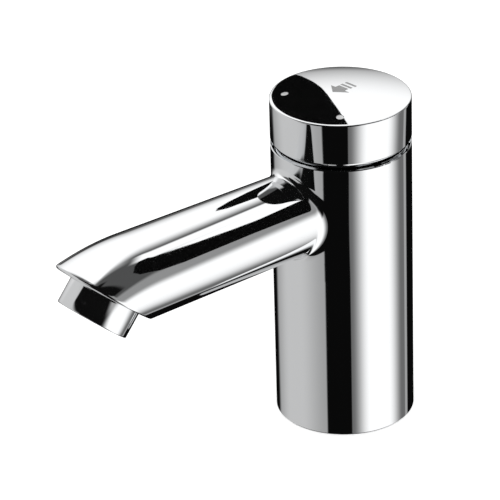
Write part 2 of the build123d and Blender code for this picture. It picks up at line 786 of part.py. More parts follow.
# Push rod: the stem from the cap down to the valve washer, with the collar that bears on the piston
with BuildPart() as push_rod:
    with BuildSketch(Plane.XZ):
        with BuildLine():
            Polyline(
                (0, washer_top + washer_screw_length - washer_height),
                (washer_screw_radius + slip, washer_top + washer_screw_length - washer_height),
                (washer_screw_radius + slip, washer_top),
                (rod_radius, washer_top),
                (rod_radius, piston_top),
                (rod_collar_radius, piston_top),
                (rod_collar_radius, piston_top + rod_collar_height),
                (rod_radius, piston_top + rod_collar_height),
                (rod_radius, rod_top),
                (0, rod_top),
                close=True,
            )
        make_face()
    revolve(axis=Axis.Z)
    chamfer(push_rod.edges().filter_by(GeomType.CIRCLE).group_by(Axis.Z)[-1], length=rim_edge)
push_rod.part.label = "push_rod"
export_step(push_rod.part, "parts/push_rod.step")

# Piston: runs in the sleeve's bore, with a groove for its lip seal and a boss that centres the spring
seal_low = piston_level + (piston_height - lip_seal_height) / 2
piston_radius = piston_bore - air
with BuildPart() as piston:
    with BuildSketch(Plane.XZ):
        with BuildLine():
            Polyline(
                (rod_radius + slip, piston_level - piston_boss_height),
                (piston_boss_radius, piston_level - piston_boss_height),
                (piston_boss_radius, piston_level),
                (piston_radius, piston_level),
                (piston_radius, seal_low),
                (piston_radius - lip_seal_depth, seal_low),
                (piston_radius - lip_seal_depth, seal_low + lip_seal_height),
                (piston_radius, seal_low + lip_seal_height),
                (piston_radius, piston_top),
                (rod_radius + slip, piston_top),
                close=True,
            )
        make_face()
    revolve(axis=Axis.Z)
piston.part.label = "piston"
export_step(piston.part, "parts/piston.step")

# Piston lip seal: a rubber cup whose two lips point up into the timing chamber
seal_inner = piston_radius - lip_seal_depth
seal_outer = piston_bore - running
with BuildPart() as piston_lip_seal:
    with BuildSketch(Plane.XZ):
        with BuildLine():
            Polyline(
                (seal_inner, seal_low),
                (seal_outer, seal_low),
                (seal_outer, seal_low + lip_seal_height),
                ((seal_inner + 2 * seal_outer) / 3, seal_low + lip_seal_height),
                ((seal_inner + seal_outer) / 2, seal_low + lip_seal_height - lip_seal_cup),
                ((2 * seal_inner + seal_outer) / 3, seal_low + lip_seal_height),
                (seal_inner, seal_low + lip_seal_height),
                close=True,
            )
        make_face()
    revolve(axis=Axis.Z)
piston_lip_seal.part.label = "piston_lip_seal"
export_step(piston_lip_seal.part, "parts/piston_lip_seal.step")

# Valve washer: the rubber disc that the spring pulls up against the seat
with BuildPart() as valve_washer:
    with BuildSketch(Plane.XY.offset(washer_bottom)):
        Circle(washer_radius)
        Circle(washer_screw_radius + slip, mode=Mode.SUBTRACT)
    extrude(amount=washer_height)
valve_washer.part.label = "valve_washer"
export_step(valve_washer.part, "parts/valve_washer.step")

# Washer screw: holds the valve washer on the rod's lower end
with BuildPart() as washer_screw:
    with BuildSketch(Plane.XY.offset(washer_bottom - washer_screw_head_height)):
        Circle(washer_screw_head_radius)
    extrude(amount=washer_screw_head_height)
    with BuildSketch(Plane.XY.offset(washer_bottom)):
        Circle(washer_screw_radius)
    extrude(amount=washer_screw_length - slip)
    with BuildSketch(Plane.XY.offset(washer_bottom - washer_screw_head_height)):
        Rectangle(2 * washer_screw_head_radius, 2 * screw_slot_width)
    extrude(amount=2 * screw_slot_depth, mode=Mode.SUBTRACT)
washer_screw.part.label = "washer_screw"
export_step(washer_screw.part, "parts/washer_screw.step")

# Push cap: a domed shell whose skirt dips into the body's rim when it is pressed
grub_height = cap_lower_edge + grub_level
dome_half_angle = degrees(asin(body_radius / dome_radius))
dot_floor = cap_top - dome_radius + sqrt(dome_radius**2 - dot_circle_radius**2) - dot_depth
dot_places = [
    (dot_circle_radius * cos(radians(angle)), dot_circle_radius * sin(radians(angle)))
    for angle in (-90 - dot_half_angle, -90 + dot_half_angle)
]


def dome_profile(sink):
    """Half of the dome's section as an arc from the axis to the rim, sunk below the real one."""
    return ThreePointArc(
        (0, cap_top - sink),
        (
            dome_radius * sin(radians(dome_half_angle / 2)),
            cap_top - sink - dome_radius * (1 - cos(radians(dome_half_angle / 2))),
        ),
        (body_radius, cap_upper_edge - sink),
    )


with BuildPart() as push_cap:
    with BuildSketch(Plane.XZ):
        with BuildLine():
            dome_profile(0)
            Polyline(
                (body_radius, cap_upper_edge),
                (body_radius, cap_lower_edge),
                (skirt_radius, cap_lower_edge - cone_height),
                (skirt_radius, skirt_bottom),
                (cap_inner_radius, skirt_bottom),
                (cap_inner_radius, cap_ceiling),
                (0, cap_ceiling),
                (0, cap_top),
            )
        make_face()
    revolve(axis=Axis.Z)
    rim_edges = push_cap.edges().filter_by(GeomType.CIRCLE).filter_by_position(
        Axis.Z, cap_upper_edge - slip, cap_upper_edge + slip
    )
    fillet(rim_edges, radius=cap_edge)
    lower_edges = push_cap.edges().filter_by(GeomType.CIRCLE).filter_by_position(
        Axis.Z, cap_lower_edge - slip, cap_lower_edge + slip
    )
    fillet(lower_edges, radius=rim_edge)
    with BuildSketch(back.offset(cap_inner_radius - overrun)):
        with Locations((0, grub_height)):
            Circle(grub_radius)
    extrude(amount=body_radius, mode=Mode.SUBTRACT)
    with BuildSketch(turned.offset(dot_floor)):
        with Locations(*dot_places):
            Circle(dot_radius + slip)
    extrude(amount=cap_top - dot_floor, mode=Mode.SUBTRACT)
push_cap.part.label = "push_cap"
export_step(push_cap.part, "parts/push_cap.step")

# Temperature dots: two enamelled inlays, a little below the dome
with BuildPart() as temperature_dots:
    with BuildSketch(turned.offset(dot_floor)):
        with Locations(*dot_places):
            Circle(dot_radius)
    extrude(amount=cap_top - dot_floor)
    with BuildSketch(Plane.XZ):
        with BuildLine():
            dome_profile(dot_sink)
            Polyline(
                (body_radius, cap_upper_edge - dot_sink),
                (body_radius, cap_ceiling),
                (0, cap_ceiling),
                (0, cap_top - dot_sink),
            )
        make_face()
    revolve(axis=Axis.Z, mode=Mode.INTERSECT)
temperature_dots.part.label = "temperature_dots"
export_step(temperature_dots.part, "parts/temperature_dots.step")

# Cap carrier: the plastic frame that takes the cap's push to the rod and its turn to the guide bush
plate_bottom = cap_ceiling - carrier_plate_height
rim_inner = carrier_radius - carrier_rim_width
rim_bottom = cap_ceiling - carrier_rim_height
rib_middle = (hub_radius + rim_inner) / 2
with BuildPart() as cap_carrier:
    with BuildSketch(Plane.XZ):
        with BuildLine():
            Polyline(
                (rod_radius + slip, hub_bottom),
                (hub_radius, hub_bottom),
                (hub_radius, plate_bottom),
                (rim_inner, plate_bottom),
                (rim_inner, rim_bottom),
                (carrier_radius, rim_bottom),
                (carrier_radius, cap_ceiling),
                (0, cap_ceiling),
                (0, rod_top),
                (rod_radius + slip, rod_top),
                close=True,
            )
        make_face()
    revolve(axis=Axis.Z)
    with BuildSketch(turned.offset(rim_bottom + rib_rise)):
        with PolarLocations(rib_middle, rib_count, start_angle=90 / rib_count):
            Rectangle(rim_inner - hub_radius + rib_width, rib_width)
    extrude(amount=plate_bottom - rim_bottom - rib_rise)
    with BuildSketch(turned.offset(hub_bottom)):
        RegularPolygon(key_flats / 2 + key_gap, hexagon, major_radius=False)
    extrude(amount=key_socket_top - hub_bottom, mode=Mode.SUBTRACT)
    with BuildSketch(back.offset(carrier_radius - grub_bite - slip)):
        with Locations((0, grub_height)):
            Circle(grub_radius)
    extrude(amount=carrier_radius, mode=Mode.SUBTRACT)
cap_carrier.part.label = "cap_carrier"
export_step(cap_carrier.part, "parts/cap_carrier.step")

# Cap grub screw: goes through the cap's wall at the back and bites into the carrier
with BuildPart() as cap_grub_screw:
    with BuildSketch(back.offset(carrier_radius - grub_bite)):
        with Locations((0, grub_height)):
            Circle(grub_radius - slip)
    extrude(amount=grub_length)
    with BuildSketch(back.offset(carrier_radius - grub_bite + grub_length)):
        with Locations((0, grub_height)):
            RegularPolygon(grub_socket_flats / 2, hexagon, major_radius=False)
    extrude(amount=-grub_socket_depth, mode=Mode.SUBTRACT)
cap_grub_screw.part.label = "cap_grub_screw"
export_step(cap_grub_screw.part, "parts/cap_grub_screw.step")

# Aerator gasket: the flat rubber ring at the bottom of the spout's socket
collar_thread_radius = collar_radius - collar_thread_step
collar_bore = collar_radius - collar_wall - collar_thread_step
with BuildPart() as aerator_gasket:
    with BuildSketch(cut_plane.offset(-socket_depth)):
        Circle(collar_thread_radius)
        Circle(collar_thread_radius - gasket_width, mode=Mode.SUBTRACT)
    extrude(amount=gasket_height)
aerator_gasket.part.label = "aerator_gasket"
export_step(aerator_gasket.part, "parts/aerator_gasket.step")

# Aerator collar: the chromed sleeve that screws into the spout and holds the insert
collar_top = gasket_height - socket_depth
with BuildPart() as aerator_collar:
    with BuildSketch(cut_plane):
        Circle(collar_radius)
    extrude(amount=collar_length)
    fillet(aerator_collar.edges().filter_by(GeomType.CIRCLE).sort_by(Axis.Z)[0], radius=collar_edge)
    with BuildSketch(cut_plane.offset(collar_top)):
        Circle(collar_thread_radius)
    extrude(amount=-collar_top)
    with BuildSketch(cut_plane.offset(collar_top)):
        Circle(collar_bore)
    extrude(amount=collar_length - collar_lip_height - collar_top, mode=Mode.SUBTRACT)
    with BuildSketch(cut_plane.offset(collar_top)):
        Circle(collar_bore - collar_lip)
    extrude(amount=collar_length - collar_top + overrun, mode=Mode.SUBTRACT)
aerator_collar.part.label = "aerator_collar"
export_step(aerator_collar.part, "parts/aerator_collar.step")


def honeycomb(pitch, reach):
    """Places one pitch apart in rows that are half a pitch askew, as far as this reach from the middle."""
    rows = range(-int(2 * reach / pitch), int(2 * reach / pitch) + 1)
    places = [(pitch * (column + row / 2), pitch * row * sqrt(3) / 2) for row in rows for column in rows]
    return [(x, y) for x, y in places if sqrt(x**2 + y**2) < reach]


# Aerator insert: a plastic cup whose floor is a honeycomb of open cells, from which the water leaves
insert_radius = collar_bore - slip
insert_top = collar_top + strainer_height
insert_bottom = collar_length - collar_lip_height
cell_field = collar_bore - collar_lip - insert_wall
with BuildPart() as aerator_insert:
    with BuildSketch(cut_plane.offset(insert_top)):
        Circle(insert_radius)
    extrude(amount=insert_bottom - insert_top)
    with BuildSketch(cut_plane.offset(insert_top)):
        Circle(insert_radius - insert_wall)
    extrude(amount=insert_bottom - grille_height - insert_top, mode=Mode.SUBTRACT)
    with BuildSketch(cut_plane.offset(insert_bottom)):
        with Locations(*honeycomb(cell_pitch, cell_field - cell_radius)):
            RegularPolygon(cell_radius, hexagon, rotation=180 / hexagon)
    extrude(amount=-grille_height - overrun, mode=Mode.SUBTRACT)
aerator_insert.part.label = "aerator_insert"
export_step(aerator_insert.part, "parts/aerator_insert.step")

# Inlet strainer: the flat sieve over the insert's mouth
strainer_reach = insert_radius - insert_wall
with BuildPart() as inlet_strainer:
    with BuildSketch(cut_plane.offset(collar_top)):
        Circle(insert_radius)
        with Locations(*honeycomb(strainer_pitch, strainer_reach - strainer_hole)):
            Rectangle(2 * strainer_hole, 2 * strainer_hole, mode=Mode.SUBTRACT)
    extrude(amount=strainer_height)
inlet_strainer.part.label = "inlet_strainer"
export_step(inlet_strainer.part, "parts/inlet_strainer.step")

# Flow regulator: the drilled disc under the strainer that evens out the flow
regulator_radius = insert_radius - insert_wall - regulator_gap / 4
with BuildPart() as flow_regulator:
    with BuildSketch(cut_plane.offset(insert_top)):
        Circle(regulator_radius)
        with PolarLocations((regulator_radius + regulator_core_radius) / 2, regulator_hole_count):
            Circle(regulator_hole, mode=Mode.SUBTRACT)
    extrude(amount=regulator_height)
    with BuildSketch(cut_plane.offset(insert_top + regulator_height)):
        Circle(regulator_core_radius)
    extrude(amount=regulator_core_height, taper=regulator_core_taper)
flow_regulator.part.label = "flow_regulator"
export_step(flow_regulator.part, "parts/flow_regulator.step")
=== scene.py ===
"""Looks of a chrome push tap: smooth shells for what shows, a finish for every piece, and the studio."""

import json
import logging
import math
from dataclasses import dataclass, field
from enum import Enum
from typing import Callable, Iterable, Sequence

import bmesh
import bpy
from mathutils import Matrix, Vector

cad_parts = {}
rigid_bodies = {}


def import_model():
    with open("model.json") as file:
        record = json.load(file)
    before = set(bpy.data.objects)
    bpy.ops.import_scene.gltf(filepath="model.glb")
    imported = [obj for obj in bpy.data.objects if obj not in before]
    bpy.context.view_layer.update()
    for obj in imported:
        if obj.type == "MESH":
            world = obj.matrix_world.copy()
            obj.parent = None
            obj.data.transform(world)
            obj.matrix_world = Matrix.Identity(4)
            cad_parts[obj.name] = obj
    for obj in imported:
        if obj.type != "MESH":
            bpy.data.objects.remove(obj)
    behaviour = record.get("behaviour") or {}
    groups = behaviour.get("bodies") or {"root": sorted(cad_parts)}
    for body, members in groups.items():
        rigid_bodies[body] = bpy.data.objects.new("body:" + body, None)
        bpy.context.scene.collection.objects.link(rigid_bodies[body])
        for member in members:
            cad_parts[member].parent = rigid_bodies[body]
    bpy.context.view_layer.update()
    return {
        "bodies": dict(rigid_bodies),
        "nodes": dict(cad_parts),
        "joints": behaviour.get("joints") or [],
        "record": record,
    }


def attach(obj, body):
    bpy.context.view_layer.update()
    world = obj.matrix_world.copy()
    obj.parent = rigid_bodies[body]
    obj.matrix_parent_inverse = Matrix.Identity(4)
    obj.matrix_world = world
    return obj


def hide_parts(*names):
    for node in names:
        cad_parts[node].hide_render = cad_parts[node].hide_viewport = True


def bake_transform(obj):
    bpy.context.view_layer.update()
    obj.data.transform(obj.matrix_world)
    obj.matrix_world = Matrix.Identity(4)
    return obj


log = logging.getLogger("push_tap")

MM = 0.001
FULL_TURN = 2 * math.pi
MERGE_DISTANCE = 1e-7
SHARP_ANGLE = math.radians(28)
NOISE_LOW = 0.3
NOISE_HIGH = 0.7
HALVINGS = 50
WHITE = (1.0, 1.0, 1.0, 1.0)

Point = tuple[float, float]
Span = tuple[float, float]
Colour = tuple[float, float, float, float]
Socket = bpy.types.NodeSocket


def linear(hex_colour: str) -> Colour:
    """Turns an sRGB hex colour into linear light.

    Args:
        hex_colour: Six hex digits after a hash sign.

    Returns:
        Linear red, green, blue and an alpha of one.
    """
    channels = [int(hex_colour[i : i + 2], 16) / 255 for i in (1, 3, 5)]
    r, g, b = (c / 12.92 if c <= 0.04045 else ((c + 0.055) / 1.055) ** 2.4 for c in channels)
    return (r, g, b, 1.0)


def fill_socket(tree: bpy.types.NodeTree, socket: Socket, value: object) -> None:
    """Links a socket from another one, or sets its value.

    Args:
        tree: The node tree that both sockets are in.
        socket: The input socket.
        value: An output socket or a plain value.
    """
    if isinstance(value, Socket):
        tree.links.new(value, socket)
    else:
        socket.default_value = value


def add_node(
    tree: bpy.types.NodeTree, kind: str, settings: dict | None = None, **inputs: object
) -> bpy.types.Node:
    """Adds one node with its settings, its values and its links.

    Args:
        tree: The node tree that gets the node.
        kind: The node's type name.
        settings: Attributes of the node itself.
        inputs: Socket values or sockets to link from, by socket name with _ for a space, or by s0, s1.

    Returns:
        The new node.
    """
    node = tree.nodes.new(kind)
    for name, value in (settings or {}).items():
        setattr(node, name, value)
    for name, value in inputs.items():
        by_number = name[0] == "s" and name[1:].isdigit()
        socket = node.inputs[int(name[1:])] if by_number else node.inputs[name.replace("_", " ")]
        fill_socket(tree, socket, value)
    return node


def deselect_all() -> None:
    """Leaves object mode with nothing selected."""
    if bpy.context.object and bpy.context.object.mode != "OBJECT":
        bpy.ops.object.mode_set(mode="OBJECT")
    bpy.ops.object.select_all(action="DESELECT")


def activate(piece: bpy.types.Object) -> None:
    """Makes one object the only selected and the active one.

    Args:
        piece: The object.
    """
    deselect_all()
    piece.select_set(True)
    bpy.context.view_layer.objects.active = piece


def arc(centre: Point, radius: float, start: float, end: float, steps: int) -> list[Point]:
    """Points along an arc in a profile's plane.

    Args:
        centre: Its middle, as distance from the axis and height.
        radius: Its radius.
        start: The first point's angle in degrees, from the outward direction.
        end: The last point's angle in degrees.
        steps: How many chords the arc is split into.

    Returns:
        The points, both ends included.
    """
    angles = [math.radians(start + (end - start) * i / steps) for i in range(steps + 1)]
    return [(centre[0] + radius * math.cos(a), centre[1] + radius * math.sin(a)) for a in angles]


def ball_arc(centre: Vector, radius: float, first: Vector, last: Vector, rings: int) -> list[Vector]:
    """Points on a ball between two of its directions.

    Args:
        centre: The ball's middle.
        radius: The ball's radius.
        first: The direction of the first point.
        last: The direction of the last point.
        rings: How many steps lie between them.

    Returns:
        The points, both ends included.
    """
    opening = first.angle(last)
    points = []
    for ring in range(rings + 1):
        share = ring / rings
        blend = math.sin((1 - share) * opening) * first + math.sin(share * opening) * last
        points.append(centre + blend * (radius / math.sin(opening)))
    return points


def lathe(name: str, outline: Sequence[Point], steps: int, closed: bool = True) -> bpy.types.Object:
    """Turns an outline about the Z axis, as on a lathe.

    Args:
        name: The new object's name.
        outline: The section's corners as distance from the axis and height, in metres.
        steps: How many steps the turn has.
        closed: Whether the outline's last corner joins its first.

    Returns:
        The turned shell, with its place in its mesh.
    """
    deselect_all()
    bpy.ops.mesh.primitive_plane_add(size=MM, location=(0, 0, 0))
    piece = bpy.context.object
    piece.name = name
    piece.data.name = name
    bpy.ops.object.mode_set(mode="EDIT")
    bpy.ops.mesh.select_mode(type="VERT")
    bpy.ops.mesh.select_all(action="SELECT")
    bpy.ops.mesh.merge(type="CENTER")
    here = Vector((0, 0, 0))
    first = Vector((outline[0][0], 0, outline[0][1]))
    bpy.ops.transform.translate(value=first - here)
    here = first
    for radius, height in list(outline[1:]) + ([outline[0]] if closed else []):
        there = Vector((radius, 0, height))
        bpy.ops.mesh.extrude_region_move(TRANSFORM_OT_translate={"value": there - here})
        here = there
    bpy.ops.mesh.select_all(action="SELECT")
    bpy.ops.mesh.spin(steps=steps, angle=FULL_TURN, center=(0, 0, 0), axis=(0, 0, 1))
    bpy.ops.mesh.select_all(action="SELECT")
    bpy.ops.mesh.remove_doubles(threshold=MERGE_DISTANCE)
    bpy.ops.mesh.select_all(action="SELECT")
    bpy.ops.mesh.normals_make_consistent(inside=False)
    bpy.ops.object.mode_set(mode="OBJECT")
    return piece


def smooth(piece: bpy.types.Object, angle: float = SHARP_ANGLE) -> None:
    """Shades an object smooth, with its edges sharper than the angle left sharp."""
    activate(piece)
    bpy.ops.object.shade_smooth_by_angle(angle=angle)


def cut_away(piece: bpy.types.Object, tool: bpy.types.Object) -> None:
    """Cuts one closed object out of another and deletes the tool.

    Args:
        piece: The object that is cut.
        tool: The closed object that is cut out of it.
    """
    activate(piece)
    cut = piece.modifiers.new("cut", "BOOLEAN")
    cut.operation = "DIFFERENCE"
    cut.solver = "EXACT"
    cut.object = tool
    bpy.ops.object.modifier_apply(modifier=cut.name)
    bpy.data.objects.remove(tool)


def smooth_copy(node: str, name: str) -> bpy.types.Object:
    """Copies a CAD node's loose triangles into one merged, smoothly shaded mesh.

    Args:
        node: The CAD node's name.
        name: The new object's name.

    Returns:
        The copy, which stands where the node does.
    """
    source = bpy.data.objects[node]
    piece = bpy.data.objects.new(name, source.data.copy())
    bpy.context.scene.collection.objects.link(piece)
    activate(piece)
    bpy.ops.object.mode_set(mode="EDIT")
    bpy.ops.mesh.select_all(action="SELECT")
    bpy.ops.mesh.remove_doubles(threshold=MERGE_DISTANCE)
    bpy.ops.object.mode_set(mode="OBJECT")
    if piece.data.has_custom_normals:
        bpy.ops.mesh.customdata_custom_splitnormals_clear()
    smooth(piece)
    return piece


class MaterialSheet:
    """A new material's tree with its Principled shader and the piece's own coordinates."""

    def __init__(self, name: str) -> None:
        """Starts an empty material.

        Args:
            name: The material's name.
        """
        self.material = bpy.data.materials.new(name)
        self.material.use_nodes = True
        self.tree = self.material.node_tree
        self.tree.nodes.clear()
        output = self.tree.nodes.new("ShaderNodeOutputMaterial")
        self.shader = self.tree.nodes.new("ShaderNodeBsdfPrincipled")
        self.tree.links.new(self.shader.outputs[0], output.inputs["Surface"])
        self.place = self.tree.nodes.new("ShaderNodeTexCoord").outputs["Object"]

    def noise(self, size: float, detail: float = 2.0, stretch: Sequence[float] = (1, 1, 1)) -> Socket:
        """Adds a noise whose patches have a real size.

        Args:
            size: The patches' size in metres.
            detail: How many finer layers it has.
            stretch: How much finer it is along each axis.

        Returns:
            The noise's value socket.
        """
        where = add_node(self.tree, "ShaderNodeMapping", Vector=self.place, Scale=stretch).outputs[0]
        made = add_node(self.tree, "ShaderNodeTexNoise", Vector=where, Scale=1 / size, Detail=detail)
        return made.outputs[0]

    def spread(self, value: Socket, low: float, high: float) -> Socket:
        """Maps a value from the noise's usual span to a span of its own."""
        ends = {"s1": NOISE_LOW, "s2": NOISE_HIGH, "s3": low, "s4": high}
        return add_node(self.tree, "ShaderNodeMapRange", Value=value, **ends).outputs[0]

    def vary(self, value: Socket, middle: float, shares: Span) -> Socket:
        """Maps a noise to a span that is given as two shares of a middle value."""
        return self.spread(value, middle * shares[0], middle * shares[1])

    def tint(self, value: Socket, dark: str, light: str) -> Socket:
        """Blends two hex colours by a value."""
        ends = {"s6": linear(dark), "s7": linear(light)}
        return add_node(self.tree, "ShaderNodeMix", {"data_type": "RGBA"}, s0=value, **ends).outputs[2]

    def grey(self, value: Socket) -> Socket:
        """Makes a grey of a value."""
        return add_node(self.tree, "ShaderNodeCombineColor", Red=value, Green=value, Blue=value).outputs[0]

    def relief(self, height: Socket, depth: float) -> Socket:
        """Turns a value into a bump of a real depth in metres."""
        return add_node(self.tree, "ShaderNodeBump", Height=height, Distance=depth, Strength=1.0).outputs[0]

    def set(self, **values: object) -> None:
        """Sets the shader's own sockets, by name with _ for a space."""
        for name, value in values.items():
            fill_socket(self.tree, self.shader.inputs[name.replace("_", " ")], value)


@dataclass(frozen=True)
class ChromePlate:
    """Bright chromium over polished brass: a mirror whose reflections waver a little over the casting."""

    colour: str = "#f6f7f8"
    roughness: float = 0.035
    haze_shares: Span = (0.7, 1.3)
    haze_size: float = 5 * MM
    waver_size: float = 16 * MM
    waver_depth: float = 0.012 * MM

    def build(self) -> bpy.types.Material:
        """Makes the material.

        Returns:
            The plate, with its haze as roughness and its waver as a bump.
        """
        sheet = MaterialSheet("bright_chrome_plate")
        haze = sheet.vary(sheet.noise(self.haze_size, detail=4), self.roughness, self.haze_shares)
        waver = sheet.relief(sheet.noise(self.waver_size, detail=0), self.waver_depth)
        sheet.set(Base_Color=linear(self.colour), Metallic=1.0, Roughness=haze, Normal=waver)
        return sheet.material


@dataclass(frozen=True)
class MachinedMetal:
    """Turned, unplated metal: fine tool marks round the axis and slight staining."""

    name: str
    light: str
    dark: str
    roughness: float
    roughness_shares: Span = (0.8, 1.25)
    patch_size: float = 1.5 * MM
    stain_size: float = 6 * MM
    mark_pitch: float = 0.25 * MM
    mark_waver: float = 0.6
    mark_depth: float = 0.004 * MM

    def build(self) -> bpy.types.Material:
        """Makes the material.

        Returns:
            The metal, with its stains as colour and its tool marks as a bump.
        """
        sheet = MaterialSheet(self.name)
        stain = sheet.spread(sheet.noise(self.stain_size, detail=5), 0, 1)
        rings = add_node(
            sheet.tree,
            "ShaderNodeTexWave",
            {"wave_type": "RINGS", "rings_direction": "Z"},
            Vector=sheet.place,
            Scale=1 / (self.mark_pitch * FULL_TURN),
            Distortion=self.mark_waver,
        ).outputs[1]
        rough = sheet.vary(sheet.noise(self.patch_size, detail=3), self.roughness, self.roughness_shares)
        marks = sheet.relief(rings, self.mark_depth)
        colour = sheet.tint(stain, self.dark, self.light)
        sheet.set(Base_Color=colour, Metallic=1.0, Roughness=rough, Normal=marks)
        return sheet.material


@dataclass(frozen=True)
class DrawnSteel:
    """Stainless steel drawn or stamped: a satin grey with a fine long grain."""

    light: str = "#c9cacb"
    dark: str = "#9b9da0"
    roughness: float = 0.28
    roughness_shares: Span = (0.8, 1.3)
    grain_size: float = 0.4 * MM
    grain_stretch: tuple[float, float, float] = (1, 1, 0.08)
    grain_depth: float = 0.003 * MM

    def build(self) -> bpy.types.Material:
        """Makes the material.

        Returns:
            The steel, whose one grain gives its colour, roughness and bump.
        """
        sheet = MaterialSheet("drawn_stainless_steel")
        grain = sheet.noise(self.grain_size, stretch=self.grain_stretch)
        colour = sheet.tint(sheet.spread(grain, 0, 1), self.dark, self.light)
        rough = sheet.vary(grain, self.roughness, self.roughness_shares)
        relief = sheet.relief(grain, self.grain_depth)
        sheet.set(Base_Color=colour, Metallic=1.0, Roughness=rough, Normal=relief)
        return sheet.material


@dataclass(frozen=True)
class NitrileRubber:
    """Moulded black nitrile: nearly matt, with the faint bloom and grain of the mould."""

    light: str = "#2c2c2d"
    dark: str = "#161617"
    roughness: Span = (0.55, 0.75)
    refraction: float = 1.52
    bloom_size: float = 3 * MM
    grain_size: float = 0.25 * MM
    grain_depth: float = 0.01 * MM

    def build(self) -> bpy.types.Material:
        """Makes the material.

        Returns:
            The rubber, with its bloom as colour and roughness and its grain as a bump.
        """
        sheet = MaterialSheet("moulded_nitrile_rubber")
        bloom = sheet.spread(sheet.noise(self.bloom_size, detail=4), 0, 1)
        grain = sheet.relief(sheet.noise(self.grain_size), self.grain_depth)
        rough = sheet.spread(bloom, *self.roughness)
        colour = sheet.tint(bloom, self.dark, self.light)
        sheet.set(Base_Color=colour, Roughness=rough, IOR=self.refraction, Normal=grain)
        return sheet.material


@dataclass(frozen=True)
class LappedAlumina:
    """Lapped alumina ceramic: warm white, almost polished, faintly cloudy."""

    light: str = "#f3f1ea"
    dark: str = "#e3dfd3"
    roughness: Span = (0.12, 0.22)
    refraction: float = 1.76
    cloud_size: float = 2.5 * MM
    lapping_size: float = 0.5 * MM

    def build(self) -> bpy.types.Material:
        """Makes the material.

        Returns:
            The ceramic, with its clouds as colour and its lapping as roughness.
        """
        sheet = MaterialSheet("lapped_alumina_ceramic")
        cloud = sheet.spread(sheet.noise(self.cloud_size, detail=4), 0, 1)
        rough = sheet.spread(sheet.noise(self.lapping_size), *self.roughness)
        colour = sheet.tint(cloud, self.dark, self.light)
        sheet.set(Base_Color=colour, Roughness=rough, IOR=self.refraction)
        return sheet.material


@dataclass(frozen=True)
class MouldedAcetal:
    """Injection-moulded acetal: slightly waxy, with flow marks and a fine spark-eroded grain."""

    name: str
    light: str
    dark: str
    roughness: float = 0.38
    roughness_shares: Span = (0.85, 1.2)
    refraction: float = 1.48
    waxiness: float = 0.04
    flow_size: float = 7 * MM
    flow_stretch: tuple[float, float, float] = (1, 1, 0.4)
    grain_size: float = 0.2 * MM
    grain_depth: float = 0.004 * MM

    def build(self) -> bpy.types.Material:
        """Makes the material.

        Returns:
            The plastic, with its flow marks as colour and its grain as roughness and bump.
        """
        sheet = MaterialSheet(self.name)
        flow = sheet.spread(sheet.noise(self.flow_size, 3, self.flow_stretch), 0, 1)
        grain = sheet.noise(self.grain_size)
        colour = sheet.tint(flow, self.dark, self.light)
        rough = sheet.vary(grain, self.roughness, self.roughness_shares)
        relief = sheet.relief(grain, self.grain_depth)
        sheet.set(Base_Color=colour, Roughness=rough, IOR=self.refraction, Normal=relief)
        sheet.set(Subsurface_Weight=self.waxiness)
        return sheet.material


@dataclass(frozen=True)
class StovedEnamel:
    """Stoved enamel, in a shallow pocket or printed: an even colour under a clear smooth skin."""

    name: str
    light: str
    dark: str
    roughness: float = 0.18
    refraction: float = 1.5
    clear_skin: float = 0.35
    pool_size: float = 1.2 * MM
    peel_size: float = 0.5 * MM
    peel_depth: float = 0.002 * MM

    def build(self) -> bpy.types.Material:
        """Makes the material.

        Returns:
            The enamel, with its pools as colour and its orange peel as a bump.
        """
        sheet = MaterialSheet(self.name)
        pool = sheet.spread(sheet.noise(self.pool_size, detail=3), 0, 1)
        colour = sheet.tint(pool, self.dark, self.light)
        peel = sheet.relief(sheet.noise(self.peel_size, detail=1), self.peel_depth)
        sheet.set(Base_Color=colour, Roughness=self.roughness, IOR=self.refraction)
        sheet.set(Coat_Weight=self.clear_skin, Normal=peel)
        return sheet.material


class Finish(Enum):
    """The finishes that the tap's pieces have."""

    CHROME = ChromePlate()
    BRASS = MachinedMetal("machined_brass", "#d9bd7f", "#b8985a", 0.24)
    STEEL = DrawnSteel()
    RUBBER = NitrileRubber()
    CERAMIC = LappedAlumina()
    WHITE_ACETAL = MouldedAcetal("natural_acetal", "#e6e6e1", "#d6d6d0")
    GREY_ACETAL = MouldedAcetal("grey_acetal", "#5c6063", "#4a4e51")
    PALE_ACETAL = MouldedAcetal("pale_grey_acetal", "#c6c9cc", "#b4b7ba", 0.3)
    SIEVE_ACETAL = MouldedAcetal("sieve_grey_acetal", "#b9bcbe", "#a5a8ab", 0.34)
    DOT_ENAMEL = StovedEnamel("light_grey_enamel", "#cfcfcf", "#bdbdbd")
    MARK_ENAMEL = StovedEnamel("mid_grey_mark", "#868686", "#767676", 0.3)


SLOT_FINISHES = {
    "chrome_plate": Finish.CHROME,
    "raw_brass": Finish.BRASS,
    "stainless_steel": Finish.STEEL,
    "seal_rubber": Finish.RUBBER,
    "disc_ceramic": Finish.CERAMIC,
    "housing_plastic": Finish.WHITE_ACETAL,
    "moving_plastic": Finish.GREY_ACETAL,
    "stop_plastic": Finish.PALE_ACETAL,
    "aerator_plastic": Finish.SIEVE_ACETAL,
    "dot_enamel": Finish.DOT_ENAMEL,
}


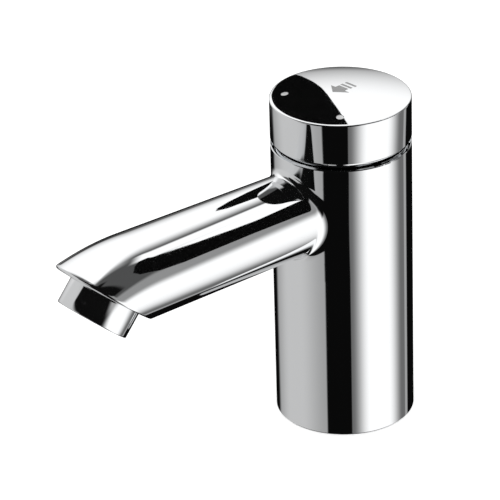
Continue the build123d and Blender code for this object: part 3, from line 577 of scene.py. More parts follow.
class Wardrobe:
    """Builds each finish once and dresses pieces in it."""

    def __init__(self) -> None:
        """Builds every finish."""
        self.materials = {finish: finish.value.build() for finish in Finish}

    def dress(self, piece: bpy.types.Object, finish: Finish) -> None:
        """Gives a piece one finish all over."""
        piece.data.materials.clear()
        piece.data.materials.append(self.materials[finish])

    def dress_nodes(self, frame: dict) -> None:
        """Gives each CAD node the finish of its record slot.

        Args:
            frame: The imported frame, with its nodes and its record.
        """
        for entry in frame["record"]["subparts"]:
            node = frame["nodes"][entry["node"]]
            finish = self.materials[SLOT_FINISHES[entry["material_slot"]]]
            for slot in node.material_slots:
                slot.material = finish
            if not node.material_slots:
                node.data.materials.append(finish)


@dataclass
class BodyCasting:
    """The upright body with its spout, as one smooth shell with the same sizes as the casting."""

    wardrobe: Wardrobe
    radius: float = 24.0 * MM
    height: float = 101.1 * MM
    base_edge: float = 0.5 * MM
    rim_edge: float = 0.2 * MM
    rim_land: float = 0.15 * MM
    counterbore_radius: float = 22.7 * MM
    counterbore_floor: float = 94.0 * MM
    bevel_slope: float = 1.75
    thread_radius: float = 19.5 * MM
    thread_bottom: float = 86.0 * MM
    chamber_radius: float = 18.0 * MM
    gallery_radius: float = 19.0 * MM
    gallery_low: float = 62.0 * MM
    gallery_high: float = 80.0 * MM
    lip_radius: float = 15.5 * MM
    lip_low: float = 36.0 * MM
    lip_high: float = 39.0 * MM
    snap_groove_low: float = 12.35 * MM
    snap_groove_high: float = 14.05 * MM
    seal_groove_inner: float = 20.55 * MM
    seal_groove_outer: float = 22.45 * MM
    seal_groove_depth: float = 2.0 * MM
    spout_span: float = 80.0 * MM
    root_half_width: float = 14.3 * MM
    end_half_width: float = 17.0 * MM
    spout_bottom: float = 66.0 * MM
    spout_bottom_fall: float = 0.4 * MM
    spout_top: float = 95.2 * MM
    spout_top_fall: float = 0.6 * MM
    heel_reach: float = 86.1 * MM
    droop_reach: float = 88.2 * MM
    droop_run: float = 30.0 * MM
    droop_depth: float = 6.9 * MM
    cut_angle: float = math.radians(39.8)
    end_edge: float = 0.8 * MM
    root_fillet: float = 2.4 * MM
    side_fillet: float = 6.0 * MM
    fillet_power: float = 3.0
    aerator_inset: float = 18.3 * MM
    socket_radius: float = 12.0 * MM
    socket_depth: float = 6.5 * MM
    turn_steps: int = 192
    patch_low: float = 59.0 * MM
    patch_high: float = 100.6 * MM
    patch_rows: int = 50
    patch_columns: int = 60
    wall_slack: float = 0.1 * MM
    wall_power: float = 1.5
    wall_rings: int = 12
    fillet_rings: int = 14
    spout_rings: int = 110
    edge_rings: int = 5
    end_rings: int = 8
    normal_step: float = 0.01 * MM
    normal_turn: float = 1e-4
    hole: list[int] = field(default_factory=list, init=False)

    def bottom_at(self, reach: float) -> float:
        """Level of the spout's underside at a reach."""
        return self.spout_bottom - self.spout_bottom_fall * (reach - self.radius) / self.spout_span

    def top_at(self, reach: float) -> float:
        """Level of the spout's upper side, with its droop.

        Args:
            reach: The distance from the body's axis towards the tip.

        Returns:
            The height above the base.
        """
        past = max(reach - self.droop_reach, 0) / self.droop_run
        fall = self.spout_top_fall * (reach - self.radius) / self.spout_span
        return self.spout_top - fall - self.droop_depth * past**2

    def spout_point(self, reach: float, angle: float) -> Vector:
        """A point on the spout's skin.

        Args:
            reach: Its distance from the body's axis towards the tip.
            angle: Its angle round the spout's ellipse, counted upwards from the +X side.

        Returns:
            The point.
        """
        grown = (self.end_half_width - self.root_half_width) * (reach - self.radius) / self.spout_span
        low, high = self.bottom_at(reach), self.top_at(reach)
        across = (self.root_half_width + grown) * math.cos(angle)
        return Vector((across, -reach, (low + high) / 2 + (high - low) / 2 * math.sin(angle)))

    def spout_normal(self, reach: float, angle: float) -> Vector:
        """The outward normal of the spout's skin, worked out from four points close round the place.

        Args:
            reach: The place's distance from the body's axis towards the tip.
            angle: Its angle round the spout's ellipse.

        Returns:
            The normal, of length one.
        """
        step, turn = self.normal_step, self.normal_turn
        along = self.spout_point(reach + step, angle) - self.spout_point(reach - step, angle)
        around = self.spout_point(reach, angle + turn) - self.spout_point(reach, angle - turn)
        return around.cross(along).normalized()

    def cut_frame(self) -> tuple[Vector, Vector, Vector, Vector]:
        """The slanting cut face at the spout's tip.

        Returns:
            The aerator's middle on it, its outward normal, and its directions across and along.
        """
        along = Vector((0, -math.cos(self.cut_angle), math.sin(self.cut_angle)))
        normal = Vector((0, -math.sin(self.cut_angle), -math.cos(self.cut_angle)))
        heel = Vector((0, -self.heel_reach, self.bottom_at(self.heel_reach)))
        return heel + along * self.aerator_inset, normal, Vector((1, 0, 0)), along

    def find_reach(self, beyond: Callable[[float], bool], low: float, high: float) -> float:
        """Halves a span of reaches until it closes on the place where a test turns true.

        Args:
            beyond: The test, which is false at the near end and true at the far end.
            low: The span's near end.
            high: The span's far end.

        Returns:
            The reach where the test turns.
        """
        for _ in range(HALVINGS):
            reach = (low + high) / 2
            low, high = (low, reach) if beyond(reach) else (reach, high)
        return (low + high) / 2

    def root_arc(self, angle: float) -> tuple[float, list[Vector]]:
        """The rolling ball's trace at the spout's root.

        Args:
            angle: The place round the spout's ellipse.

        Returns:
            The reach at which the fillet ends on the spout, and its points from the body to the spout.
        """
        widened = abs(math.cos(angle)) ** self.fillet_power
        ball = self.root_fillet + (self.side_fillet - self.root_fillet) * widened

        def middle_at(reach: float) -> Vector:
            """The ball's middle where it touches the spout at a reach."""
            return self.spout_point(reach, angle) + self.spout_normal(reach, angle) * ball

        def clear(reach: float) -> bool:
            """Whether the ball there is clear of the body."""
            return middle_at(reach).xy.length > self.radius + ball

        reach = self.find_reach(clear, 0.5 * self.radius, 2 * self.radius)
        centre = middle_at(reach)
        to_body = -Vector((centre.x, centre.y, 0)).normalized()
        to_spout = -self.spout_normal(reach, angle)
        return reach, ball_arc(centre, ball, to_body, to_spout, self.fillet_rings)

    def end_arc(self, angle: float) -> tuple[float, list[Vector]]:
        """The rounded edge between the spout's skin and its cut face.

        Args:
            angle: The place round the spout's ellipse.

        Returns:
            The reach at which the edge leaves the skin, and its points from the skin to the cut face.
        """
        middle, normal, _, _ = self.cut_frame()
        ball = self.end_edge

        def middle_at(reach: float) -> Vector:
            """The ball's middle where it touches the skin from inside at a reach."""
            return self.spout_point(reach, angle) - self.spout_normal(reach, angle) * ball

        def past(reach: float) -> bool:
            """Whether the ball there reaches through the cut face."""
            return (middle_at(reach) - middle).dot(normal) > -ball

        reach = self.find_reach(past, self.radius, self.heel_reach + 2 * self.end_half_width)
        skin = self.spout_normal(reach, angle)
        return reach, ball_arc(middle_at(reach), ball, skin, normal, self.edge_rings)

    def outline(self) -> list[Point]:
        """The section of the upright part, from its base's outer edge up, in and down again.

        Returns:
            The section's corners as distance from the axis and height.
        """
        rim_inner = self.radius - self.rim_edge - self.rim_land
        bevel_bottom = self.height - (rim_inner - self.counterbore_radius) * self.bevel_slope
        step = (self.patch_high - self.patch_low) / self.patch_rows
        wall = [(self.radius, self.patch_low + step * row) for row in range(self.patch_rows + 1)]
        return [
            (self.seal_groove_outer, 0),
            (self.radius - self.base_edge, 0),
            (self.radius, self.base_edge),
            *wall,
            (self.radius, self.height - self.rim_edge),
            (self.radius - self.rim_edge, self.height),
            (rim_inner, self.height),
            (self.counterbore_radius, bevel_bottom),
            (self.counterbore_radius, self.counterbore_floor),
            (self.thread_radius, self.counterbore_floor),
            (self.thread_radius, self.thread_bottom),
            (self.chamber_radius, self.thread_bottom),
            (self.chamber_radius, self.gallery_high),
            (self.gallery_radius, self.gallery_high),
            (self.gallery_radius, self.gallery_low),
            (self.chamber_radius, self.gallery_low),
            (self.chamber_radius, self.lip_high),
            (self.lip_radius, self.lip_high),
            (self.lip_radius, self.lip_low),
            (self.chamber_radius, self.lip_low),
            (self.chamber_radius, self.snap_groove_high),
            (self.gallery_radius, self.snap_groove_high),
            (self.gallery_radius, self.snap_groove_low),
            (self.chamber_radius, self.snap_groove_low),
            (self.chamber_radius, 0),
            (self.seal_groove_inner, 0),
            (self.seal_groove_inner, self.seal_groove_depth),
            (self.seal_groove_outer, self.seal_groove_depth),
        ]

    def open_patch(self, piece: bpy.types.Object) -> None:
        """Deletes the wall's faces where the spout grows out, and notes the hole's edge.

        Args:
            piece: The turned upright part.
        """
        half_angle = self.patch_columns / 2 / self.turn_steps * FULL_TURN
        activate(piece)
        bpy.ops.object.mode_set(mode="EDIT")
        bpy.ops.mesh.select_mode(type="FACE")
        bpy.ops.mesh.select_all(action="DESELECT")
        bpy.ops.object.mode_set(mode="OBJECT")
        for face in piece.data.polygons:
            middle = face.center
            on_wall = math.hypot(middle.x, middle.y) > self.radius - self.wall_slack
            ahead = abs(math.atan2(middle.x, -middle.y)) < half_angle
            face.select = on_wall and ahead and self.patch_low < middle.z < self.patch_high
        bpy.ops.object.mode_set(mode="EDIT")
        bpy.ops.mesh.delete(type="ONLY_FACE")
        bpy.ops.mesh.select_mode(type="EDGE")
        bpy.ops.mesh.delete_loose(use_verts=True, use_edges=True, use_faces=False)
        bpy.ops.mesh.select_all(action="DESELECT")
        bpy.ops.mesh.select_non_manifold(extend=False, use_wire=False, use_multi_face=False)
        bpy.ops.object.mode_set(mode="OBJECT")
        self.hole = [vertex.index for vertex in piece.data.vertices if vertex.select]

    def rays(self, piece: bpy.types.Object) -> list[list[Vector]]:
        """Works out the places of the rings that grow from the hole's edge.

        Args:
            piece: The turned upright part with its hole.

        Returns:
            For each vertex of the hole's edge, its line of places from the wall to the aerator's socket.
        """
        middle = (self.spout_bottom + self.spout_top) / 2
        half_height = (self.spout_top - self.spout_bottom) / 2
        cut_middle, _, across, along = self.cut_frame()
        lines = []
        for index in self.hole:
            start = piece.data.vertices[index].co.copy()
            unrolled = self.radius * math.atan2(start.x, -start.y)
            angle = math.atan2((start.z - middle) / half_height, unrolled / self.root_half_width)
            root_end, root = self.root_arc(angle)
            skin_end, edge = self.end_arc(angle)
            wall_u, wall_z = self.radius * math.atan2(root[0].x, -root[0].y), root[0].z
            line = []
            for ring in range(1, self.wall_rings):
                share = 1 - (1 - ring / self.wall_rings) ** self.wall_power
                turn = (unrolled + (wall_u - unrolled) * share) / self.radius
                level = start.z + (wall_z - start.z) * share
                line.append(Vector((self.radius * math.sin(turn), -self.radius * math.cos(turn), level)))
            line.extend(root)
            for ring in range(1, self.spout_rings):
                reach = root_end + (skin_end - root_end) * ring / self.spout_rings
                line.append(self.spout_point(reach, angle))
            line.extend(edge)
            rim = edge[-1] - cut_middle
            inner = Vector((rim.dot(across), rim.dot(along))).normalized() * self.socket_radius
            socket = cut_middle + across * inner.x + along * inner.y
            for ring in range(1, self.end_rings + 1):
                line.append(edge[-1].lerp(socket, ring / self.end_rings))
            lines.append(line)
        return lines

    def grow(self, piece: bpy.types.Object) -> None:
        """Extrudes the hole's edge ring by ring along the wall, the fillet, the spout and the cut face.

        Args:
            piece: The turned upright part with its hole.
        """
        lines = self.rays(piece)
        _, normal, _, _ = self.cut_frame()
        activate(piece)
        bpy.ops.object.mode_set(mode="EDIT")
        mesh = bmesh.from_edit_mesh(piece.data)
        keys = mesh.verts.layers.int.new("ray")
        mesh.verts.ensure_lookup_table()
        for number, index in enumerate(self.hole):
            mesh.verts[index][keys] = number + 1
        for step in range(len(lines[0])):
            bpy.ops.mesh.extrude_region_move(TRANSFORM_OT_translate={"value": (0, 0, 0)})
            mesh = bmesh.from_edit_mesh(piece.data)
            keys = mesh.verts.layers.int["ray"]
            for vertex in mesh.verts:
                if vertex.select:
                    vertex.co = lines[vertex[keys] - 1][step]
            bmesh.update_edit_mesh(piece.data)
        bpy.ops.mesh.extrude_region_move(TRANSFORM_OT_translate={"value": -normal * self.socket_depth})
        bpy.ops.mesh.edge_face_add()
        bpy.ops.mesh.select_all(action="SELECT")
        bpy.ops.mesh.normals_make_consistent(inside=False)
        bpy.ops.object.mode_set(mode="OBJECT")

    def build(self) -> bpy.types.Object:
        """Makes the whole casting and puts it in the body's place.

        Returns:
            The casting.
        """
        piece = lathe("body_shell", self.outline(), self.turn_steps)
        self.open_patch(piece)
        self.grow(piece)
        smooth(piece)
        self.wardrobe.dress(piece, Finish.CHROME)
        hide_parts("body")
        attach(piece, "root")
        return piece


@dataclass
class PushCapShell:
    """The domed cap as one smooth turned shell, with its dot pockets and its grub screw hole.

    The dome lies 0.022 mm under the CAD's, so that the printed arrow on it stays inside the CAD's box.
    """

    wardrobe: Wardrobe
    radius: float = 24.0 * MM
    lower_edge: float = 103.7 * MM
    upper_edge: float = 117.778 * MM
    top: float = 119.978 * MM
    rim_fillet: float = 0.5 * MM
    lower_fillet: float = 0.2 * MM
    skirt_radius: float = 22.4 * MM
    cone_height: float = 2.8 * MM
    skirt_bottom: float = 96.5 * MM
    inner_radius: float = 20.2 * MM
    ceiling: float = 115.0 * MM
    dome_rings: int = 40
    rim_steps: int = 6
    lower_steps: int = 4
    turn_steps: int = 256
    drill_sides: int = 48
    overrun: float = 1.0 * MM
    turn: float = math.radians(4.6)
    dot_circle: float = 18.7 * MM
    dot_half_angle: float = math.radians(45.4)
    dot_radius: float = 1.3 * MM
    dot_gap: float = 0.05 * MM
    dot_depth: float = 0.7 * MM
    dot_sink: float = 0.08 * MM
    grub_level: float = 108.4 * MM
    grub_radius: float = 2.0 * MM

    @property
    def dome_radius(self) -> float:
        """The radius of the dome's sphere."""
        rise = self.top - self.upper_edge
        return (self.radius**2 + rise**2) / (2 * rise)

    def dome_level(self, distance: float) -> float:
        """The dome's height at a distance from the axis."""
        return self.top - self.dome_radius + math.sqrt(self.dome_radius**2 - distance**2)

    def outline(self) -> list[Point]:
        """The shell's section, from the top's middle outwards and back inside.

        Returns:
            The section's corners as distance from the axis and height.
        """
        ball = self.rim_fillet
        reach = self.dome_radius - ball
        centre_r = self.radius - ball
        centre_z = self.top - self.dome_radius + math.sqrt(reach**2 - centre_r**2)
        meeting = math.degrees(math.atan2(centre_z - self.top + self.dome_radius, centre_r))
        edge = arc((centre_r, centre_z), ball, meeting, 0, self.rim_steps)
        last = edge[0][0]
        steps = [last * ring / self.dome_rings for ring in range(self.dome_rings)]
        dome = [(distance, self.dome_level(distance)) for distance in steps]
        slope = math.degrees(math.atan2(self.cone_height, self.radius - self.skirt_radius))
        turned = 90 - slope
        small = self.lower_fillet
        lead = small * math.tan(math.radians(turned) / 2)
        lower = arc((self.radius - small, self.lower_edge + lead), small, 0, -turned, self.lower_steps)
        return [
            *dome,
            *edge,
            *lower,
            (self.skirt_radius, self.lower_edge - self.cone_height),
            (self.skirt_radius, self.skirt_bottom),
            (self.inner_radius, self.skirt_bottom),
            (self.inner_radius, self.ceiling),
            (0, self.ceiling),
        ]

    def dot_places(self) -> list[Vector]:
        """The two dots' middles on the dome.

        Returns:
            The two places, each side of the cap's front.
        """
        ahead = self.turn - math.pi / 2
        places = []
        for side in (-1, 1):
            angle = ahead + side * self.dot_half_angle
            x, y = self.dot_circle * math.cos(angle), self.dot_circle * math.sin(angle)
            places.append(Vector((x, y, self.dome_level(self.dot_circle))))
        return places

    def drill(self, radius: float, place: Vector, depth: float, turned: Matrix) -> bpy.types.Object:
        """Makes a closed round tool.

        Args:
            radius: The tool's radius.
            place: Where its middle goes.
            depth: Its whole length.
            turned: The matrix that turns it from upright.

        Returns:
            The tool.
        """
        deselect_all()
        bpy.ops.mesh.primitive_cylinder_add(
            vertices=self.drill_sides, radius=radius, depth=depth, location=(0, 0, 0)
        )
        tool = bpy.context.object
        tool.data.transform(Matrix.Translation(place) @ turned)
        return tool

    def build(self) -> bpy.types.Object:
        """Makes the cap with its pockets and puts it in the cap's place.

        Returns:
            The cap.
        """
        piece = lathe("push_cap_shell", self.outline(), self.turn_steps, closed=False)
        for place in self.dot_places():
            tool = self.drill(self.dot_radius + self.dot_gap, place, 2 * self.dot_depth, Matrix.Identity(4))
            cut_away(piece, tool)
        behind = self.turn + math.pi / 2
        out = Vector((math.cos(behind), math.sin(behind), 0))
        lying = out.to_track_quat("Z", "Y").to_matrix().to_4x4()
        middle = out * self.radius + Vector((0, 0, self.grub_level))
        depth = 2 * (self.radius - self.inner_radius + self.overrun)
        cut_away(piece, self.drill(self.grub_radius, middle, depth, lying))
        smooth(piece)
        self.wardrobe.dress(piece, Finish.CHROME)
        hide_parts("push_cap")
        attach(piece, "plunger")
        return piece


@dataclass
class TemperatureMarks:
    """The two enamelled dots in their pockets and the arrow with two bars between them."""

    wardrobe: Wardrobe
    cap: PushCapShell
    dot_rings: int = 6
    dot_steps: int = 64
    dot_edge: float = 0.12 * MM
    dot_rise: float = 0.05 * MM
    dot_brim: float = 0.01 * MM
    arrow_apex: float = 2.9 * MM
    head_base: float = -0.6 * MM
    head_half_width: float = 4.35 * MM
    shaft_half_width: float = 2.2 * MM
    shaft_end: float = -2.4 * MM
    bar_half_width: float = 2.45 * MM
    bar_width: float = 1.0 * MM
    bar_places: tuple[float, float] = (-3.6 * MM, -5.7 * MM)
    across_shift: float = -0.67 * MM
    mark_thickness: float = 0.03 * MM
    mark_sink: float = 0.008 * MM
    mark_cuts: int = 4

    def build_dots(self) -> list[bpy.types.Object]:
        """Makes the dots as shallow turned lenses.

        Returns:
            The two dots, in their pockets.
        """
        dots = []
        cap = self.cap
        crown = [cap.dot_radius * ring / self.dot_rings for ring in range(self.dot_rings)]
        outline = [
            *((distance, self.dot_rise * (1 - (distance / cap.dot_radius) ** 2)) for distance in crown),
            (cap.dot_radius - self.dot_edge, self.dot_brim),
            (cap.dot_radius, -self.dot_edge),
            (cap.dot_radius, -cap.dot_depth + cap.dot_sink),
            (0, -cap.dot_depth + cap.dot_sink),
        ]
        for number, place in enumerate(cap.dot_places(), start=1):
            dot = lathe(f"temperature_dot_{number}", outline, self.dot_steps, closed=False)
            lean = Vector((place.x, place.y, math.sqrt(cap.dome_radius**2 - cap.dot_circle**2)))
            turned = lean.to_track_quat("Z", "Y").to_matrix().to_4x4()
            dot.data.transform(Matrix.Translation(place - Vector((0, 0, cap.dot_sink))) @ turned)
            smooth(dot)
            self.wardrobe.dress(dot, Finish.DOT_ENAMEL)
            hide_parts("temperature_dots")
            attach(dot, "plunger")
            dots.append(dot)
        return dots

    def slab(self, corners: Sequence[Point], name: str) -> bpy.types.Object:
        """Makes one thin slab that follows the dome.

        Args:
            corners: Its outline as distance towards the spout and distance across, in metres.
            name: The new object's name.

        Returns:
            The slab, in its place on the cap.
        """
        deselect_all()
        bpy.ops.mesh.primitive_circle_add(vertices=len(corners), radius=MM, fill_type="NGON")
        piece = bpy.context.object
        piece.name = name
        piece.data.name = name
        ahead = Vector((math.sin(self.cap.turn), -math.cos(self.cap.turn), 0))
        aside = Vector((math.cos(self.cap.turn), math.sin(self.cap.turn), 0))
        for vertex, (along, across) in zip(piece.data.vertices, corners):
            vertex.co = ahead * along + aside * across
        bpy.ops.object.mode_set(mode="EDIT")
        bpy.ops.mesh.select_mode(type="VERT")
        bpy.ops.mesh.select_all(action="SELECT")
        bpy.ops.mesh.quads_convert_to_tris()
        bpy.ops.mesh.subdivide(number_cuts=self.mark_cuts)
        bpy.ops.mesh.extrude_region_move(TRANSFORM_OT_translate={"value": (0, 0, self.mark_thickness)})
        bpy.ops.mesh.select_all(action="SELECT")
        bpy.ops.mesh.normals_make_consistent(inside=False)
        bpy.ops.object.mode_set(mode="OBJECT")
        for vertex in piece.data.vertices:
            distance = math.hypot(vertex.co.x, vertex.co.y)
            vertex.co.z += self.cap.dome_level(distance) - self.mark_sink
        return piece

    def build_arrow(self) -> bpy.types.Object:
        """Makes the arrow and its two bars as one printed mark.

        Returns:
            The mark, on the dome.
        """
        shift = self.across_shift
        arrow = [
            (self.arrow_apex, shift),
            (self.head_base, shift - self.head_half_width),
            (self.head_base, shift - self.shaft_half_width),
            (self.shaft_end, shift - self.shaft_half_width),
            (self.shaft_end, shift + self.shaft_half_width),
            (self.head_base, shift + self.shaft_half_width),
            (self.head_base, shift + self.head_half_width),
        ]
        parts = [self.slab(arrow, "temperature_arrow")]
        for number, place in enumerate(self.bar_places):
            low, high = place - self.bar_width / 2, place + self.bar_width / 2
            left, right = shift - self.bar_half_width, shift + self.bar_half_width
            bar = [(high, left), (low, left), (low, right), (high, right)]
            parts.append(self.slab(bar, f"bar_{number}"))
        deselect_all()
        for part in parts:
            part.select_set(True)
        bpy.context.view_layer.objects.active = parts[0]
        bpy.ops.object.join()
        arrow_mark = parts[0]
        smooth(arrow_mark)
        self.wardrobe.dress(arrow_mark, Finish.MARK_ENAMEL)
        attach(arrow_mark, "plunger")
        return arrow_mark


@dataclass
class AeratorEnd:
    """The chromed collar at the spout's tip, turned upright and then laid on the tilted axis."""

    wardrobe: Wardrobe
    body: BodyCasting
    radius: float = 12.6 * MM
    length: float = 9.3 * MM
    edge: float = 0.4 * MM
    thread_radius: float = 11.95 * MM
    thread_top: float = 5.3 * MM
    bore: float = 10.6 * MM
    lip_opening: float = 9.8 * MM
    lip_height: float = 1.0 * MM
    soft_edge: float = 0.15 * MM
    soft_steps: int = 4
    edge_steps: int = 8
    turn_steps: int = 160

    def outline(self) -> list[Point]:
        """The collar's section, with heights measured out of the spout.

        Returns:
            The section's corners as distance from the collar's axis and height.
        """
        soft, steps = self.soft_edge, self.soft_steps
        mouth = arc((self.lip_opening + soft, self.length - soft), soft, 90, 180, steps)
        return [
            (self.thread_radius, -self.thread_top),
            (self.thread_radius, 0),
            (self.radius - soft, 0),
            *arc((self.radius - soft, soft), soft, -90, 0, steps)[1:],
            *arc((self.radius - self.edge, self.length - self.edge), self.edge, 0, 90, self.edge_steps),
            *mouth,
            (self.lip_opening, self.length - self.lip_height),
            (self.bore, self.length - self.lip_height),
            (self.bore, -self.thread_top),
        ]

    def build(self) -> bpy.types.Object:
        """Makes the collar and puts it in the collar's place.

        Returns:
            The collar.
        """
        piece = lathe("aerator_collar_shell", self.outline(), self.turn_steps)
        middle, normal, across, _ = self.body.cut_frame()
        axes = Matrix((across, normal.cross(across), normal)).transposed().to_4x4()
        piece.data.transform(Matrix.Translation(middle) @ axes)
        smooth(piece)
        self.wardrobe.dress(piece, Finish.CHROME)
        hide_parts("aerator_collar")
        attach(piece, "root")
        return piece


@dataclass
class BoughtParts:
    """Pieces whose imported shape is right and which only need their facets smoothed."""

    wardrobe: Wardrobe
    names: dict[str, str] = field(
        default_factory=lambda: {
            "inlet_block": "root",
            "retaining_ring": "root",
            "base_seal": "root",
            "aerator_insert": "root",
            "cap_grub_screw": "plunger",
            "return_spring": "selector",
        }
    )
    spring: str = "return_spring"

    def compress(self, piece: bpy.types.Object) -> None:
        """Bakes the coil's place into its mesh; the coil stays fixed and is attached to no body."""
        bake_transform(piece)

    def build(self, frame: dict) -> list[bpy.types.Object]:
        """Makes a smooth copy of each of these nodes in its place.

        Args:
            frame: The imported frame, whose record names each node's material slot.

        Returns:
            The copies.
        """
        slots = {entry["node"]: entry["material_slot"] for entry in frame["record"]["subparts"]}
        copies = []
        for node, body in self.names.items():
            piece = smooth_copy(node, f"{node}_smooth")
            self.wardrobe.dress(piece, SLOT_FINISHES[slots[node]])
            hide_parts(node)
            if node == self.spring:
                self.compress(piece)
            else:
                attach(piece, body)
            copies.append(piece)
        return copies


@dataclass(frozen=True)
class Panel:
    """One soft-edged patch of the room as mirrors see it.

    Headings count in degrees from the camera's side of the tap, heights in degrees from level.
    """

    level: float
    heading: Span = (-360.0, 360.0)
    heading_soft: Span = (1.0, 1.0)
    height: Span = (-180.0, 180.0)
    height_soft: Span = (1.0, 1.0)


@dataclass(frozen=True)
class Flag:
    """A black cloth that stands upright: its foot, its way along the floor and its outline, in mm."""

    name: str
    stand: Point
    way: Point
    edge: tuple[Point, ...]


@dataclass(frozen=True)
class Lamp:
    """A large soft square lamp, which mirrors don't see: place and size in metres, power in watts."""

    name: str
    place: tuple[float, float, float]
    power: float
    size: float


class RoomSheet:
    """The world's node tree, with the sums and soft edges that the panels are made of."""

    def __init__(self, name: str) -> None:
        """Gives the scene an empty world.

        Args:
            name: The world's name.
        """
        world = bpy.data.worlds.new(name)
        bpy.context.scene.world = world
        world.use_nodes = True
        self.tree = world.node_tree
        self.tree.nodes.clear()

    def sum(self, operation: str, first: Socket | float, second: Socket | float = 0.0) -> Socket:
        """One sum of two values."""
        kind = {"operation": operation}
        return add_node(self.tree, "ShaderNodeMath", kind, s0=first, s1=second).outputs[0]

    def mix(self, share: Socket, low: Socket | float, high: Socket | float) -> Socket:
        """A value that goes from low to high with a share."""
        kind = {"data_type": "FLOAT"}
        return add_node(self.tree, "ShaderNodeMix", kind, s0=share, s2=low, s3=high).outputs[0]

    def step(self, value: Socket, edge: float, soft: float) -> Socket:
        """A value that rises from 0 to 1 across an edge.

        Args:
            value: What is compared with the edge.
            edge: Where the rise has its middle.
            soft: How far it reaches to each side.

        Returns:
            The risen value.
        """
        kind = {"interpolation_type": "SMOOTHSTEP"}
        ends = {"s1": edge - soft, "s2": edge + soft, "s3": 0.0, "s4": 1.0}
        return add_node(self.tree, "ShaderNodeMapRange", kind, Value=value, **ends).outputs[0]

    def band(self, value: Socket, span: Span, soft: Span) -> Socket:
        """One inside a span of a value, and nothing outside, with soft edges."""
        past = self.step(value, span[1], soft[1])
        return self.sum("MULTIPLY", self.step(value, span[0], soft[0]), self.sum("SUBTRACT", 1.0, past))

    def directions(self, front: float) -> tuple[Socket, Socket]:
        """The heading and the height of the direction that a ray takes.

        Args:
            front: The direction in the floor's plane from which headings count, in degrees.

        Returns:
            The heading from -180 to 180 and the height from -90 to 90, in degrees.
        """
        look = add_node(self.tree, "ShaderNodeTexCoord").outputs["Generated"]
        x, y, z = add_node(self.tree, "ShaderNodeSeparateXYZ", Vector=look).outputs
        cosine, sine = math.cos(math.radians(front)), math.sin(math.radians(front))
        ahead = self.sum("ADD", self.sum("MULTIPLY", x, cosine), self.sum("MULTIPLY", y, sine))
        aside = self.sum("SUBTRACT", self.sum("MULTIPLY", y, cosine), self.sum("MULTIPLY", x, sine))
        heading = self.sum("MULTIPLY", self.sum("ARCTAN2", aside, ahead), math.degrees(1))
        height = self.sum("MULTIPLY", self.sum("ARCSINE", z), math.degrees(1))
        return heading, height

    def behind(self, heading: Socket, first: float) -> Socket:
        """Counts the headings before the first one a full turn further, so that they go on past 180."""
        return self.sum("ADD", heading, self.sum("MULTIPLY", self.sum("LESS_THAN", heading, first), 360.0))


